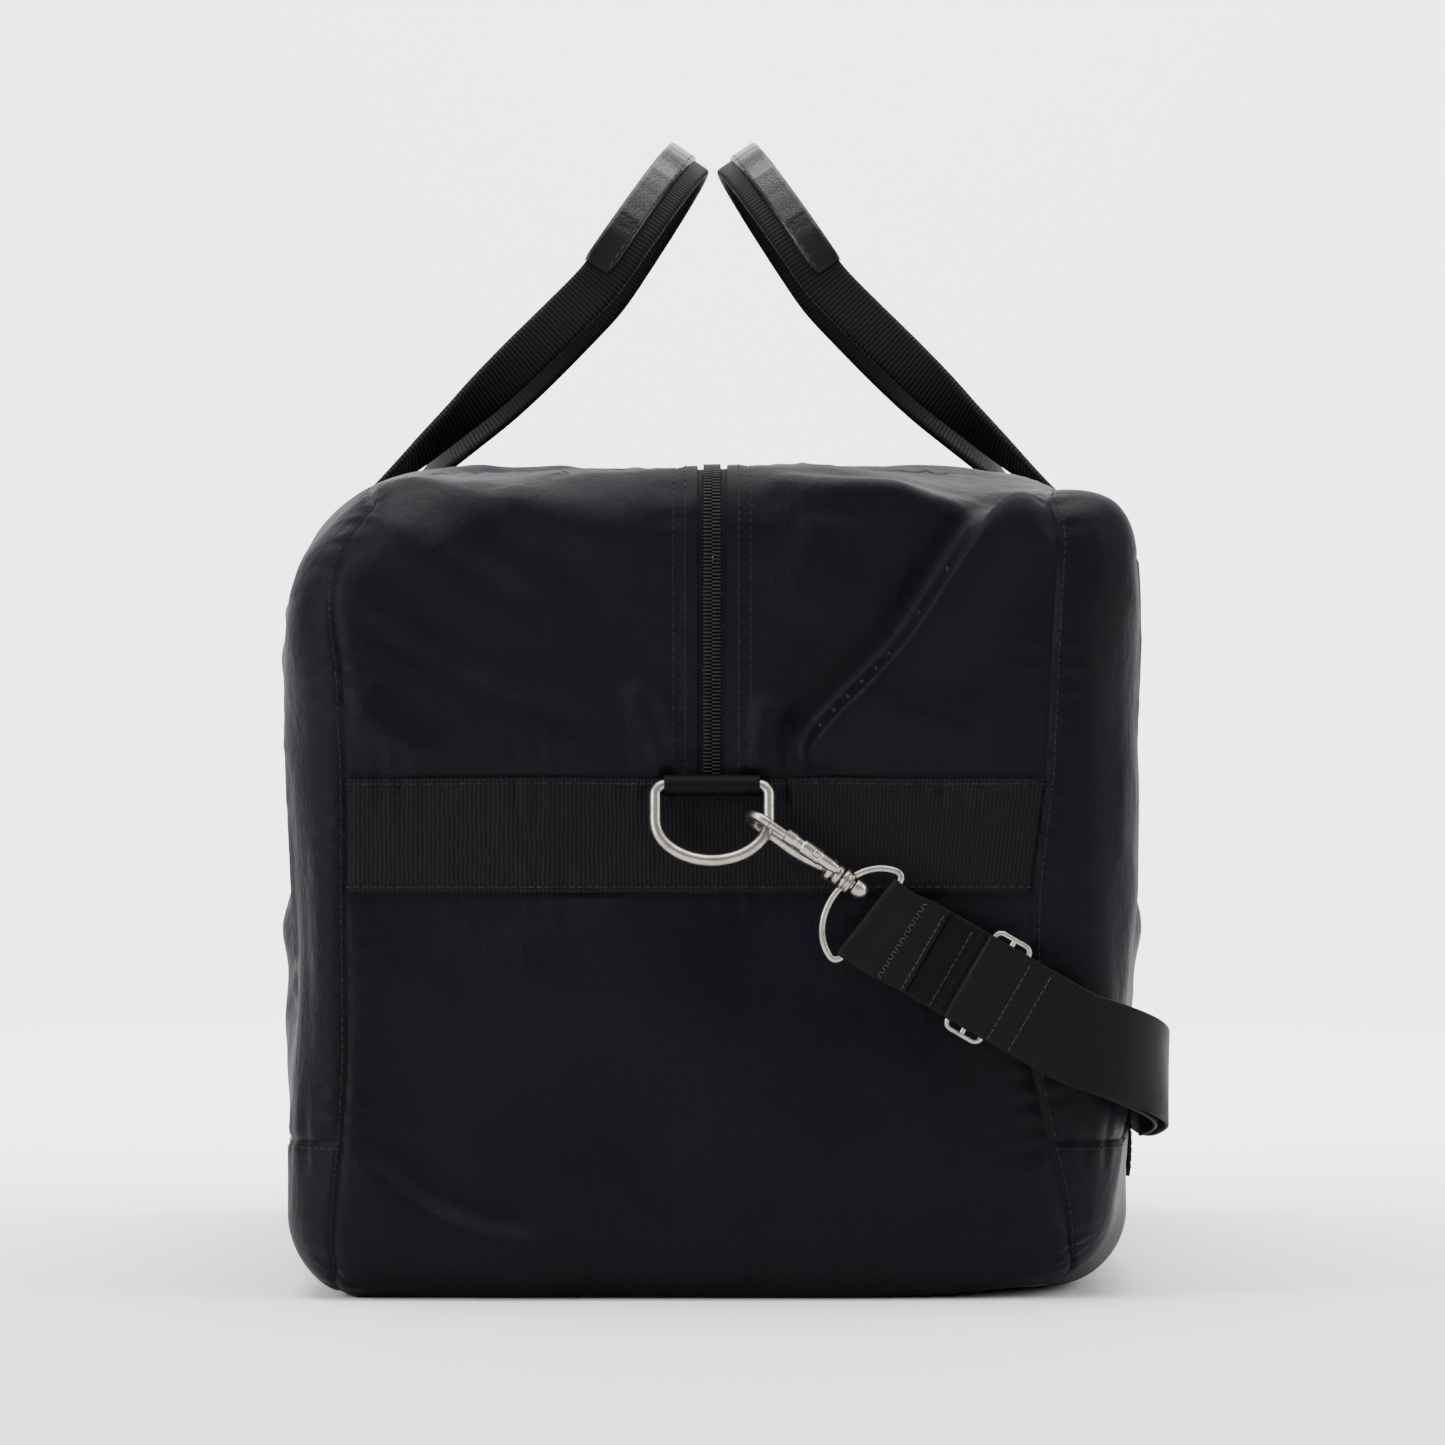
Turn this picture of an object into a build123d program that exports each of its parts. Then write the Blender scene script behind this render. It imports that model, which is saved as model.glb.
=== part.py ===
"""Soft duffel bag: zipped fabric body, two grab handles and a clip-on shoulder strap.

Millimetres. +Z is up, the length runs along Y and the width along X. The origin is the
middle of the underside, on the surface that the bag stands on. The near end faces -Y.
Everything at the far end is the near end mirrored, except the strap's adjuster.
"""

import os
from math import asin, cos, degrees, pi, radians, sin, sqrt, tan

from build123d import *

# ---- Bag body -------------------------------------------------------------------
BAG_WIDTH = 345.0
BAG_LENGTH = 600.0
BAG_HEIGHT = 336.0
FABRIC = 1.6
LINING = 0.6
BOTTOM_EDGE_RADIUS = 34.0
TOP_EDGE_RADIUS = 60.0
END_EDGE_RADIUS = 30.0
BOTTOM_WRAP = 64.0  # how far the bottom panel turns up the sides
CORNER_SEAM_INSET = 32.0  # from the side face to the upright seams on the ends
OPENING_END_MARGIN = 65.0  # from the end face to where the opening top panels begin
FLAP_GAP = 1.2  # slit round each opening top panel
LINING_RIM_DROP = 40.0  # lining tub stops this far under the top

# ---- Base board -----------------------------------------------------------------
BOARD_THICKNESS = 3.0
BOARD_SIDE_GAP = 2.0
BOARD_CORNER_RADIUS = 20.0

# ---- Zipper ---------------------------------------------------------------------
ZIP_SLOT_WIDTH = 12.0  # between the two fabric edges
ZIP_MEETING_GAP = 0.6  # between the two halves of the chain
TAPE_HALF_WIDTH = 14.0
TAPE_THICKNESS = 0.8
COIL_WIDTH = 6.8
COIL_HEIGHT = 2.2
SLIDER_LENGTH = 16.0
SLIDER_WIDTH = 11.4
SLIDER_PLATE = 1.8
SLIDER_GAP = 0.5  # between the slider and the coil or tape
SLIDER_BRIDGE_WIDTH = 2.0
SLIDER_BRIDGE_LENGTH = 10.0
SLIDER_BRIDGE_WALL = 1.4
SLIDER_END_GAP = 15.0  # slider's middle past the end of the opening panels
PULL_PIN_RADIUS = 0.9
PULL_GAP = 0.5
PULL_LENGTH = 34.0
PULL_WIDTH = 8.0
PULL_THICKNESS = 1.6

# ---- End bands and D-rings ------------------------------------------------------
BAND_TOP = 209.4
BAND_WIDTH = 45.6
BAND_THICKNESS = 2.4
RING_WIRE = 5.0
RING_INNER_WIDTH = 40.4
RING_STRAIGHT = 14.4
RING_BOW_DEPTH = 17.0
RING_CORNER_RADIUS = 4.0
SLEEVE_WALL = 1.2
SLEEVE_CLEARANCE = 0.1
SLEEVE_END_GAP = 0.6
SLEEVE_TAB_DEPTH = 18.0

# ---- Carrying handles -----------------------------------------------------------
HANDLE_SPACING = 220.0  # between the two legs of one handle, where they are sewn on
HANDLE_WEBBING = 38.0
HANDLE_LEG_THICKNESS = 2.2
HANDLE_LEG_BOTTOM = 40.0
HANDLE_LEG_TOP = 294.0
HANDLE_HINGE_RISE = 302.0
HANDLE_HINGE_STANDOFF = 4.5
HANDLE_HINGE_GAP = 5.0
HANDLE_PLATE_THICKNESS = 3.0
HANDLE_PLATE_LENGTH = 60.0
HANDLE_LEG_LENGTH = 175.8  # from the hinge to where the grip begins
HANDLE_LEG_ANGLE = 43.0
HANDLE_GRIP_ANGLE = 56.0
HANDLE_FOLDED_WIDTH = 20.0
HANDLE_FOLDED_THICKNESS = 4.0
GRIP_RADIUS = 68.0
GRIP_LEATHER = 1.3
GRIP_WRAP = 12.0
GRIP_END_TRIM = 4.0

# ---- Snap hooks -----------------------------------------------------------------
SHANK_ANGLE = 34.3  # below level
HOOK_TWIST = 15.0
HOOK_WIRE = 4.0
HOOK_THROAT = 9.2
HOOK_TIP_REACH = 1.0
HOOK_BACK_CLEARANCE = 0.6
HOOK_GRIP_BELOW_STRAIGHT = 3.2  # where the hook sits on the ring's bow
HOOK_BODY_START = 8.0
HOOK_BODY_END = 29.0
HOOK_COLLARS = ((28.8, 31.4, 4.75), (32.2, 35.2, 4.3))
STEM_RADIUS = 2.0
STEM_END = 44.2
STEM_CLEARANCE = 0.1
STEM_HEAD_RADIUS = 3.6
STEM_HEAD_START = 41.4
BOLT_DIAMETER = 3.4
BOLT_CLEARANCE = 0.05
BOLT_TIP_GAP = 0.3
BOLT_END = 23.6
BOLT_TRAVEL = 6.5
BOLT_KNOB_LENGTH = 3.4
BOLT_KNOB_REACH = 4.4
BOLT_KNOB_WIDTH = 2.6
BOLT_SLOT_CLEARANCE = 0.3
SLEEVE_OUTER = 5.8
BORE_END = 33.0
SLEEVE_END = 34.2
SPRING_WIRE = 0.4
SPRING_TURNS = 6

# ---- Swivel bow and shoulder strap ----------------------------------------------
BOW_WIRE = 3.0
BOW_DEPTH = 17.5
BOW_BAR_OFFSET = (40.9, -36.8)  # bar's middle from the grip point, along X and Z
BOW_TURN = 38.0  # below level
BOW_COLLAR = (35.8, 40.4, 4.75)
STRAP_WEBBING = 38.0
STRAP_THICKNESS = 1.6
STRAP_FOLD_CLEARANCE = 0.05
STRAP_TAPER_LENGTH = 12.0
STRAP_SEWN_LENGTH = 26.0
STRAP_SLOPE = 30.0
STRAP_SIDE_SLOPE = 6.0
STRAP_CORNER_SLOPE = 18.0
STRAP_CORNER_STANDOFF = 3.0
STRAP_TAIL_SIDE_LENGTH = 116.0
TRI_GLIDE_ACROSS = 46.0
TRI_GLIDE_ALONG = 18.0
TRI_GLIDE_BAR = 2.8
TRI_GLIDE_THICKNESS = 2.4
TRI_GLIDE_DISTANCE = 46.4  # from the bow's bar to the glide bar that the webbing turns round

# ---- Worked out from the above ---------------------------------------------------
SEAM_X = BAG_WIDTH / 2 - CORNER_SEAM_INSET
FLAP_HINGE_X = BAG_WIDTH / 2 - TOP_EDGE_RADIUS
OPENING_HALF = BAG_LENGTH / 2 - OPENING_END_MARGIN
END_SPLIT_Z = BAND_TOP - BAND_WIDTH / 2
ZIP_BOTTOM = BAND_TOP + SLEEVE_WALL
BAG_SPAN = BAG_WIDTH + BAG_LENGTH + BAG_HEIGHT  # larger than anything it has to cut

BAND_FACE_Y = -BAG_LENGTH / 2 - BAND_THICKNESS
SLEEVE_INNER = RING_WIRE / 2 + SLEEVE_CLEARANCE
SLEEVE_RADIUS = SLEEVE_INNER + SLEEVE_WALL
RING_BAR_Y = BAND_FACE_Y - SLEEVE_RADIUS - SLEEVE_CLEARANCE
RING_BAR_Z = BAND_TOP + SLEEVE_WALL - SLEEVE_RADIUS
RING_HALF_WIDTH = (RING_INNER_WIDTH + RING_WIRE) / 2

HOOK_LOOP_RADIUS = (HOOK_THROAT + HOOK_WIRE) / 2
GRIP_Y = BAND_FACE_Y - HOOK_BACK_CLEARANCE - HOOK_LOOP_RADIUS - HOOK_WIRE / 2
GRIP_DOWN_RING = RING_STRAIGHT + HOOK_GRIP_BELOW_STRAIGHT
RING_TILT = degrees(asin((RING_BAR_Y - GRIP_Y) / GRIP_DOWN_RING))
GRIP_X = RING_HALF_WIDTH * sqrt(1 - ((GRIP_DOWN_RING - RING_STRAIGHT) / RING_BOW_DEPTH) ** 2)
GRIP_Z = RING_BAR_Z - GRIP_DOWN_RING * cos(radians(RING_TILT))

STRAP_FOLD_RADIUS = BOW_WIRE / 2 + STRAP_FOLD_CLEARANCE + STRAP_THICKNESS
BOW_HALF_WIDTH = STRAP_WEBBING / 2 + BOW_WIRE  # the webbing clears the rounded corners
STRAP_START = (GRIP_X + BOW_BAR_OFFSET[0], GRIP_Z + BOW_BAR_OFFSET[1])
TAIL_Y = GRIP_Y + STRAP_FOLD_RADIUS - STRAP_THICKNESS / 2
STRAP_Y = GRIP_Y - STRAP_FOLD_RADIUS + STRAP_THICKNESS / 2
CORNER_X = BAG_WIDTH / 2 - END_EDGE_RADIUS + STRAP_CORNER_STANDOFF
CORNER_Y = -BAG_LENGTH / 2 + END_EDGE_RADIUS - 2 * STRAP_CORNER_STANDOFF
END_RUN_X = CORNER_X - STRAP_START[0]
CORNER_START_Z = STRAP_START[1] - END_RUN_X * tan(radians(STRAP_SLOPE))
CORNER_ARC = (CORNER_Y - STRAP_Y) * pi / 2
CORNER_END_Z = CORNER_START_Z - CORNER_ARC * sin(radians(STRAP_CORNER_SLOPE))
SAG_RADIUS = -CORNER_Y / sin(radians(STRAP_SIDE_SLOPE))
SAG_CENTRE_Z = CORNER_END_Z + SAG_RADIUS * cos(radians(STRAP_SIDE_SLOPE))


def block(x, y, z):
    """A box from three (low, high) pairs."""
    low = (x[0], y[0], z[0])
    size = (x[1] - x[0], y[1] - y[0], z[1] - z[0])
    return Pos(*low) * Box(*size, align=(Align.MIN, Align.MIN, Align.MIN))


def bag_form(inset):
    """The bag's rounded body, pulled in by inset all over."""
    body = Pos(0, 0, BAG_HEIGHT / 2) * Box(
        BAG_WIDTH - 2 * inset, BAG_LENGTH - 2 * inset, BAG_HEIGHT - 2 * inset
    )
    lower = body.edges().filter_by(Axis.Y).group_by(Axis.Z)[0]
    body = fillet(lower, BOTTOM_EDGE_RADIUS - inset)
    upper = body.edges().filter_by(Axis.Y).group_by(Axis.Z)[-1]
    body = fillet(upper, TOP_EDGE_RADIUS - inset)
    rims = body.faces().sort_by(Axis.Y)[0].edges() + body.faces().sort_by(Axis.Y)[-1].edges()
    return fillet(rims, END_EDGE_RADIUS - inset)


def bag_shell(outer_inset, thickness):
    """A skin of the bag's form between two insets."""
    return bag_form(outer_inset) - bag_form(outer_inset + thickness)


def both_ends(piece):
    """The near piece and the same piece at the far end."""
    return piece, mirror(piece, about=Plane.XZ)


def both_sides(piece):
    """The left piece and the same piece on the right."""
    return piece, mirror(piece, about=Plane.YZ)


def make_panels(parts):
    """The sewn fabric panels: bottom, sides, ends and the two opening top panels."""
    cloth = bag_shell(0, FABRIC)
    far = BAG_SPAN
    above_wrap = (BOTTOM_WRAP, far)
    middle = block((-FLAP_HINGE_X, FLAP_HINGE_X), (-OPENING_HALF, OPENING_HALF), (BOTTOM_WRAP, far))
    ends = block((-SEAM_X, SEAM_X), (-far, -OPENING_HALF), above_wrap)
    ends += block((-SEAM_X, SEAM_X), (OPENING_HALF, far), above_wrap)

    near_end_y = (-far, -BAG_LENGTH / 2 + END_EDGE_RADIUS)
    near_end = cloth & block((-SEAM_X, SEAM_X), near_end_y, (-far, END_SPLIT_Z))
    parts["end_panel_near"], parts["end_panel_far"] = both_ends(near_end)

    bottom = cloth & block((-far, far), (-far, far), (-far, BOTTOM_WRAP))
    parts["bottom_panel"] = bottom - parts["end_panel_near"] - parts["end_panel_far"]
    left_side = (cloth & block((-far, -FLAP_HINGE_X), (-far, far), above_wrap)) - middle - ends
    parts["side_panel_left"], parts["side_panel_right"] = both_sides(left_side)

    upper = cloth & block((-SEAM_X, -ZIP_SLOT_WIDTH / 2), (-far, -OPENING_HALF), (END_SPLIT_Z, far))
    for end, near_left in zip(("near", "far"), both_ends(upper)):
        for side, piece in zip(("left", "right"), both_sides(near_left)):
            parts[f"end_upper_{end}_{side}"] = piece

    flap_x = (-FLAP_HINGE_X + FLAP_GAP, -ZIP_SLOT_WIDTH / 2)
    flap_y = (-OPENING_HALF + FLAP_GAP, OPENING_HALF - FLAP_GAP)
    flap = block(flap_x, flap_y, (BAG_HEIGHT - FABRIC, BAG_HEIGHT))
    parts["top_panel_left"], parts["top_panel_right"] = both_sides(flap)


def make_lining_and_board(parts):
    """The lining tub, the lining under each top panel, and the stiff board in the bottom."""
    tub = bag_shell(FABRIC + TAPE_THICKNESS, LINING)
    rim = BAG_HEIGHT - LINING_RIM_DROP
    parts["lining_tub"] = tub & block((-BAG_SPAN, BAG_SPAN), (-BAG_SPAN, BAG_SPAN), (0, rim))

    under = BAG_HEIGHT - FABRIC
    lining_x = (-FLAP_HINGE_X + FLAP_GAP, -TAPE_HALF_WIDTH)
    lining_y = (-OPENING_HALF + FLAP_GAP, OPENING_HALF - FLAP_GAP)
    top_lining = block(lining_x, lining_y, (under - LINING, under))
    parts["top_lining_left"], parts["top_lining_right"] = both_sides(top_lining)

    floor = FABRIC + TAPE_THICKNESS + LINING
    half_x = BAG_WIDTH / 2 - BOTTOM_EDGE_RADIUS - BOARD_SIDE_GAP
    half_y = BAG_LENGTH / 2 - BOTTOM_EDGE_RADIUS - BOARD_SIDE_GAP
    board = block((-half_x, half_x), (-half_y, half_y), (floor, floor + BOARD_THICKNESS))
    parts["base_board"] = fillet(board.edges().filter_by(Axis.Z), BOARD_CORNER_RADIUS)


def make_zip(parts):
    """Zip tape and coil on the opening panels, the same going down both ends, and the slider."""
    tape_inner = ZIP_MEETING_GAP / 2
    tape_skin = bag_shell(FABRIC, TAPE_THICKNESS)
    coil_skin = bag_form(FABRIC - COIL_HEIGHT) - bag_form(FABRIC)
    flap_y = (-OPENING_HALF + FLAP_GAP, OPENING_HALF - FLAP_GAP)
    under = BAG_HEIGHT - FABRIC

    strips = {
        "zip_tape": (TAPE_HALF_WIDTH, tape_skin, (under - TAPE_THICKNESS, under)),
        "zip_coil": (COIL_WIDTH / 2, coil_skin, (under, under + COIL_HEIGHT)),
    }
    for name, (reach, skin, height) in strips.items():
        across = (-reach, -tape_inner)
        top = block(across, flap_y, height)
        parts[f"{name}_left"], parts[f"{name}_right"] = both_sides(top)
        end = skin & block(across, (-BAG_SPAN, -OPENING_HALF), (ZIP_BOTTOM, BAG_SPAN))
        for side, near in zip(("left", "right"), both_sides(end)):
            parts[f"{name}_near_{side}"], parts[f"{name}_far_{side}"] = both_ends(near)

    rest_y = OPENING_HALF + SLIDER_END_GAP
    coil_top = under + COIL_HEIGHT
    plate_low = coil_top + SLIDER_GAP
    plate_top = plate_low + SLIDER_PLATE
    along = (rest_y - SLIDER_LENGTH / 2, rest_y + SLIDER_LENGTH / 2)
    slider = block((-SLIDER_WIDTH / 2, SLIDER_WIDTH / 2), along, (plate_low, plate_top))
    slider = fillet(slider.edges().filter_by(Axis.Z), SLIDER_WIDTH / 4)
    lip_inner = COIL_WIDTH / 2 + SLIDER_GAP
    lip_y = (along[0] + SLIDER_WIDTH / 4, along[1] - SLIDER_WIDTH / 4)
    for side in (-1, 1):
        lip_x = sorted((side * lip_inner, side * SLIDER_WIDTH / 2))
        slider += block(lip_x, lip_y, (under + SLIDER_GAP, plate_low))

    pin_z = plate_top + PULL_GAP + PULL_PIN_RADIUS
    bridge_top = pin_z + PULL_PIN_RADIUS + PULL_GAP + SLIDER_BRIDGE_WALL
    bridge_x = (-SLIDER_BRIDGE_WIDTH / 2, SLIDER_BRIDGE_WIDTH / 2)
    bridge_y = (rest_y - SLIDER_BRIDGE_LENGTH / 2, rest_y + SLIDER_BRIDGE_LENGTH / 2)
    inside_y = (bridge_y[0] + SLIDER_BRIDGE_WALL, bridge_y[1] - SLIDER_BRIDGE_WALL)
    bridge = block(bridge_x, bridge_y, (plate_top, bridge_top))
    bridge -= block(bridge_x, inside_y, (plate_top, bridge_top - SLIDER_BRIDGE_WALL))
    parts["zip_slider"] = slider + bridge

    corner_reach = sqrt((SLIDER_BRIDGE_LENGTH / 2) ** 2 + (bridge_top - pin_z) ** 2)
    eye_x = (bridge_x[0] - PULL_GAP, bridge_x[1] + PULL_GAP)
    plate_z = (pin_z - PULL_THICKNESS / 2, pin_z + PULL_THICKNESS / 2)
    pull = block((-PULL_WIDTH / 2, PULL_WIDTH / 2), (rest_y, rest_y + PULL_LENGTH), plate_z)
    pull = fillet(pull.edges().filter_by(Axis.Z).group_by(Axis.Y)[-1], PULL_WIDTH / 3)
    pull -= block(eye_x, (rest_y, rest_y + corner_reach + PULL_GAP), plate_z)
    pin = Pos(0, rest_y, pin_z) * Rot(0, 90, 0) * Cylinder(PULL_PIN_RADIUS, PULL_WIDTH)
    parts["zip_pull"] = pull + pin


def make_bands(parts):
    """The webbing band across each end and the sleeve that holds the ring's bar."""
    sleeve_half = RING_INNER_WIDTH / 2 - SLEEVE_END_GAP
    bar = Pos(0, RING_BAR_Y, RING_BAR_Z) * Rot(0, 90, 0)
    sleeve = bar * Cylinder(SLEEVE_RADIUS, 2 * sleeve_half)
    panel_y = -BAG_LENGTH / 2
    across = (-sleeve_half, sleeve_half)
    sleeve += block(across, (RING_BAR_Y, panel_y), (BAND_TOP, BAND_TOP + SLEEVE_WALL))
    tab_z = (BAND_TOP - SLEEVE_TAB_DEPTH, BAND_TOP + SLEEVE_WALL)
    tab = block(across, (panel_y - SLEEVE_WALL, panel_y), tab_z)
    sleeve += tab
    sleeve -= bar * Cylinder(SLEEVE_INNER, BAG_WIDTH)
    parts["d_ring_sleeve_near"], parts["d_ring_sleeve_far"] = both_ends(sleeve)

    band = block((-SEAM_X, SEAM_X), (BAND_FACE_Y, panel_y), (BAND_TOP - BAND_WIDTH, BAND_TOP))
    parts["end_band_near"], parts["end_band_far"] = both_ends(band - tab)


def wire_loop(outline, diameter, upwards):
    """Round wire bent along an outline: the straight bar highest on the axis, then the rest."""
    edges = outline.faces()[0].outer_wire().edges()
    bar = edges.filter_by(GeomType.LINE).sort_by(upwards)[-1]
    rest = Wire([edge for edge in edges if edge is not bar])
    loop = Part()
    for path in (bar, rest):
        loop += sweep(Plane(origin=path @ 0, z_dir=path % 0) * Circle(diameter / 2), path=path)
    return loop


def make_rings(parts):
    """The D-rings: a straight bar, two straight sides and a half-oval bow, tilted outwards."""
    plane = Plane(
        origin=(0, RING_BAR_Y, RING_BAR_Z),
        x_dir=(1, 0, 0),
        z_dir=(0, -cos(radians(RING_TILT)), sin(radians(RING_TILT))),
    )
    frame = Pos(0, -RING_STRAIGHT / 2) * Rectangle(2 * RING_HALF_WIDTH, RING_STRAIGHT)
    frame = fillet(frame.vertices().group_by(Axis.Y)[-1], RING_CORNER_RADIUS)
    oval = Ellipse(RING_HALF_WIDTH, RING_BOW_DEPTH)
    oval &= Pos(0, -RING_BOW_DEPTH) * Rectangle(BAG_WIDTH, 2 * RING_BOW_DEPTH)
    outline = plane * (frame + Pos(0, -RING_STRAIGHT) * oval)
    parts["d_ring_near"], parts["d_ring_far"] = both_ends(wire_loop(outline, RING_WIRE, Axis.Z))


def make_handles(parts):
    """Sewn webbing legs, and for each handle a folded webbing loop with a leather grip."""
    side_x = -BAG_WIDTH / 2
    leg_z = (HANDLE_LEG_BOTTOM, HANDLE_LEG_TOP)
    legs = []
    for middle in (-HANDLE_SPACING / 2, HANDLE_SPACING / 2):
        leg_y = (middle - HANDLE_WEBBING / 2, middle + HANDLE_WEBBING / 2)
        legs.append(block((side_x - HANDLE_LEG_THICKNESS, side_x), leg_y, leg_z))
    parts["handle_left_legs"], parts["handle_right_legs"] = both_sides(Compound(children=legs))

    hinge = Vector(side_x - HANDLE_HINGE_STANDOFF, 0, HANDLE_HINGE_RISE)
    up_leg = Vector(cos(radians(HANDLE_LEG_ANGLE)), 0, sin(radians(HANDLE_LEG_ANGLE)))
    up_grip = Vector(cos(radians(HANDLE_GRIP_ANGLE)), 0, sin(radians(HANDLE_GRIP_ANGLE)))
    bend = hinge + up_leg * HANDLE_LEG_LENGTH
    arch_plane = Plane(origin=bend, x_dir=(0, 1, 0), z_dir=Vector(0, 1, 0).cross(up_grip))

    half_thick = HANDLE_FOLDED_THICKNESS / 2
    arch = half_ring(GRIP_RADIUS - half_thick, GRIP_RADIUS + half_thick)
    half_fold = HANDLE_FOLDED_WIDTH / 2
    loop = extrude(arch_plane * arch, amount=half_fold, both=True)
    spread = (HANDLE_SPACING / 2 - GRIP_RADIUS) / HANDLE_LEG_LENGTH
    for side in (-1, 1):
        sections = []
        for distance in (HANDLE_HINGE_GAP, HANDLE_PLATE_LENGTH):
            middle = hinge + up_leg * distance
            middle.Y = side * (HANDLE_SPACING / 2 - spread * distance)
            across = Plane(origin=middle, x_dir=(0, 1, 0), z_dir=up_leg)
            sections.append(across * Rectangle(HANDLE_WEBBING, HANDLE_PLATE_THICKNESS))
        top = Plane(origin=bend + Vector(0, side * GRIP_RADIUS, 0), x_dir=(0, 1, 0), z_dir=up_grip)
        sections.append(top * Rectangle(HANDLE_FOLDED_THICKNESS, HANDLE_FOLDED_WIDTH))
        loop += loft([s.faces()[0] for s in sections], ruled=True)
    parts["handle_left_loop"], parts["handle_right_loop"] = both_sides(loop)

    wrap = half_ring(
        GRIP_RADIUS - half_thick - GRIP_LEATHER, GRIP_RADIUS + half_thick + GRIP_LEATHER
    )
    wrap -= Rectangle(BAG_WIDTH, 2 * GRIP_END_TRIM)
    outer_face = arch_plane.offset(arch_side(arch_plane) * (half_fold + GRIP_LEATHER))
    inward = -arch_side(arch_plane) * (GRIP_WRAP + GRIP_LEATHER)
    leather = extrude(outer_face * wrap, amount=inward)
    parts["handle_left_grip"], parts["handle_right_grip"] = both_sides(leather - loop)


def arch_side(plane):
    """+1 if the plane's normal points up and away from the bag, else -1."""
    return 1 if plane.z_dir.Z > 0 else -1


def half_ring(inner, outer):
    """The upper half of a flat ring, centred on the sketch's origin."""
    upper = Pos(0, outer) * Rectangle(4 * outer, 2 * outer)
    return (Circle(outer) - Circle(inner)) & upper


def hook_plane():
    """Sketch plane of the near hook: x along the shank, y out through the bolt."""
    shank = (cos(radians(SHANK_ANGLE)), 0, -sin(radians(SHANK_ANGLE)))
    across = (sin(radians(SHANK_ANGLE)), 0, cos(radians(SHANK_ANGLE)))
    twist = radians(HOOK_TWIST)
    normal = Vector(*across) * -cos(twist) + Vector(0, -1, 0) * sin(twist)
    return Plane(origin=(GRIP_X, GRIP_Y, GRIP_Z), x_dir=shank, z_dir=normal)


def along_shank(start, end, radius, offset=0.0):
    """A round bar in the hook's own frame, from start to end along the shank."""
    bar = Cylinder(radius, end - start, align=(Align.CENTER, Align.CENTER, Align.MIN))
    return Pos(start, offset, 0) * Rot(0, 90, 0) * bar


def make_hooks(parts):
    """Bolt snap hooks: cast hook with a swivel stem, sliding bolt and its spring."""
    loop = HOOK_LOOP_RADIUS
    half = HOOK_WIRE / 2
    path = Line((-HOOK_TIP_REACH, loop), (-2 * HOOK_TIP_REACH, loop))
    path += ThreePointArc(
        (-2 * HOOK_TIP_REACH, loop),
        (-2 * HOOK_TIP_REACH - loop, 0),
        (-2 * HOOK_TIP_REACH, -loop),
    )
    path += Line((-2 * HOOK_TIP_REACH, -loop), (HOOK_BODY_START + HOOK_WIRE, -loop))
    claw = sweep(Plane(origin=path @ 0, z_dir=path % 0) * Circle(half), path=path)

    web = Polygon(
        (HOOK_BODY_START, -loop - half),
        (HOOK_BODY_START + 2 * HOOK_WIRE, -loop - half),
        (HOOK_BODY_END, -STEM_RADIUS),
        (HOOK_BODY_END, loop),
        (HOOK_BODY_START, loop),
        align=None,
    )
    hook = claw + extrude(web, amount=half, both=True)
    hook += along_shank(HOOK_BODY_START, SLEEVE_END, SLEEVE_OUTER / 2, loop)
    hook += along_shank(HOOK_BODY_END - HOOK_WIRE, STEM_END, STEM_RADIUS)
    for start, end, radius in HOOK_COLLARS:
        hook += along_shank(start, end, radius)
    head = Pos(STEM_END, 0, 0) * Sphere(STEM_HEAD_RADIUS)
    hook += head & along_shank(STEM_HEAD_START, BAG_WIDTH, STEM_HEAD_RADIUS)

    bolt_start = -HOOK_TIP_REACH + BOLT_TIP_GAP
    bore = BOLT_DIAMETER / 2 + BOLT_CLEARANCE
    hook -= along_shank(HOOK_BODY_START - 1, BORE_END, bore, loop)
    knob_start = BOLT_END - BOLT_KNOB_LENGTH
    slot_x = (knob_start - BOLT_SLOT_CLEARANCE, BOLT_END + BOLT_TRAVEL + BOLT_SLOT_CLEARANCE)
    slot_half = BOLT_KNOB_WIDTH / 2 + BOLT_SLOT_CLEARANCE
    hook -= block(slot_x, (loop, loop + SLEEVE_OUTER), (-slot_half, slot_half))

    bolt = along_shank(bolt_start, BOLT_END, BOLT_DIAMETER / 2, loop)
    knob_z = (-BOLT_KNOB_WIDTH / 2, BOLT_KNOB_WIDTH / 2)
    bolt += block((knob_start, BOLT_END), (loop, loop + BOLT_KNOB_REACH), knob_z)

    spring_room = BORE_END - BOLT_END
    coil_radius = BOLT_DIAMETER / 2 - SPRING_WIRE
    wind = spring_room - 2 * SPRING_WIRE
    helix = Helix(wind / SPRING_TURNS, wind, coil_radius)
    turns = sweep(Plane(origin=helix @ 0, z_dir=helix % 0) * Circle(SPRING_WIRE / 2), path=helix)
    spring = Pos(BOLT_END + SPRING_WIRE, loop, 0) * Rot(0, 90, 0) * turns

    place = hook_plane().location
    for name, piece in (("snap_hook", hook), ("gate_bolt", bolt), ("gate_spring", spring)):
        parts[f"{name}_near"], parts[f"{name}_far"] = both_ends(place * piece)


def bow_plane():
    """Sketch plane of the near bow: x along the strap, y along the bow's bar."""
    strap_way = (cos(radians(BOW_TURN)), 0, -sin(radians(BOW_TURN)))
    return Plane(origin=(STRAP_START[0], GRIP_Y, STRAP_START[1]), x_dir=strap_way, z_dir=(0, -1, 0))


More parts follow.
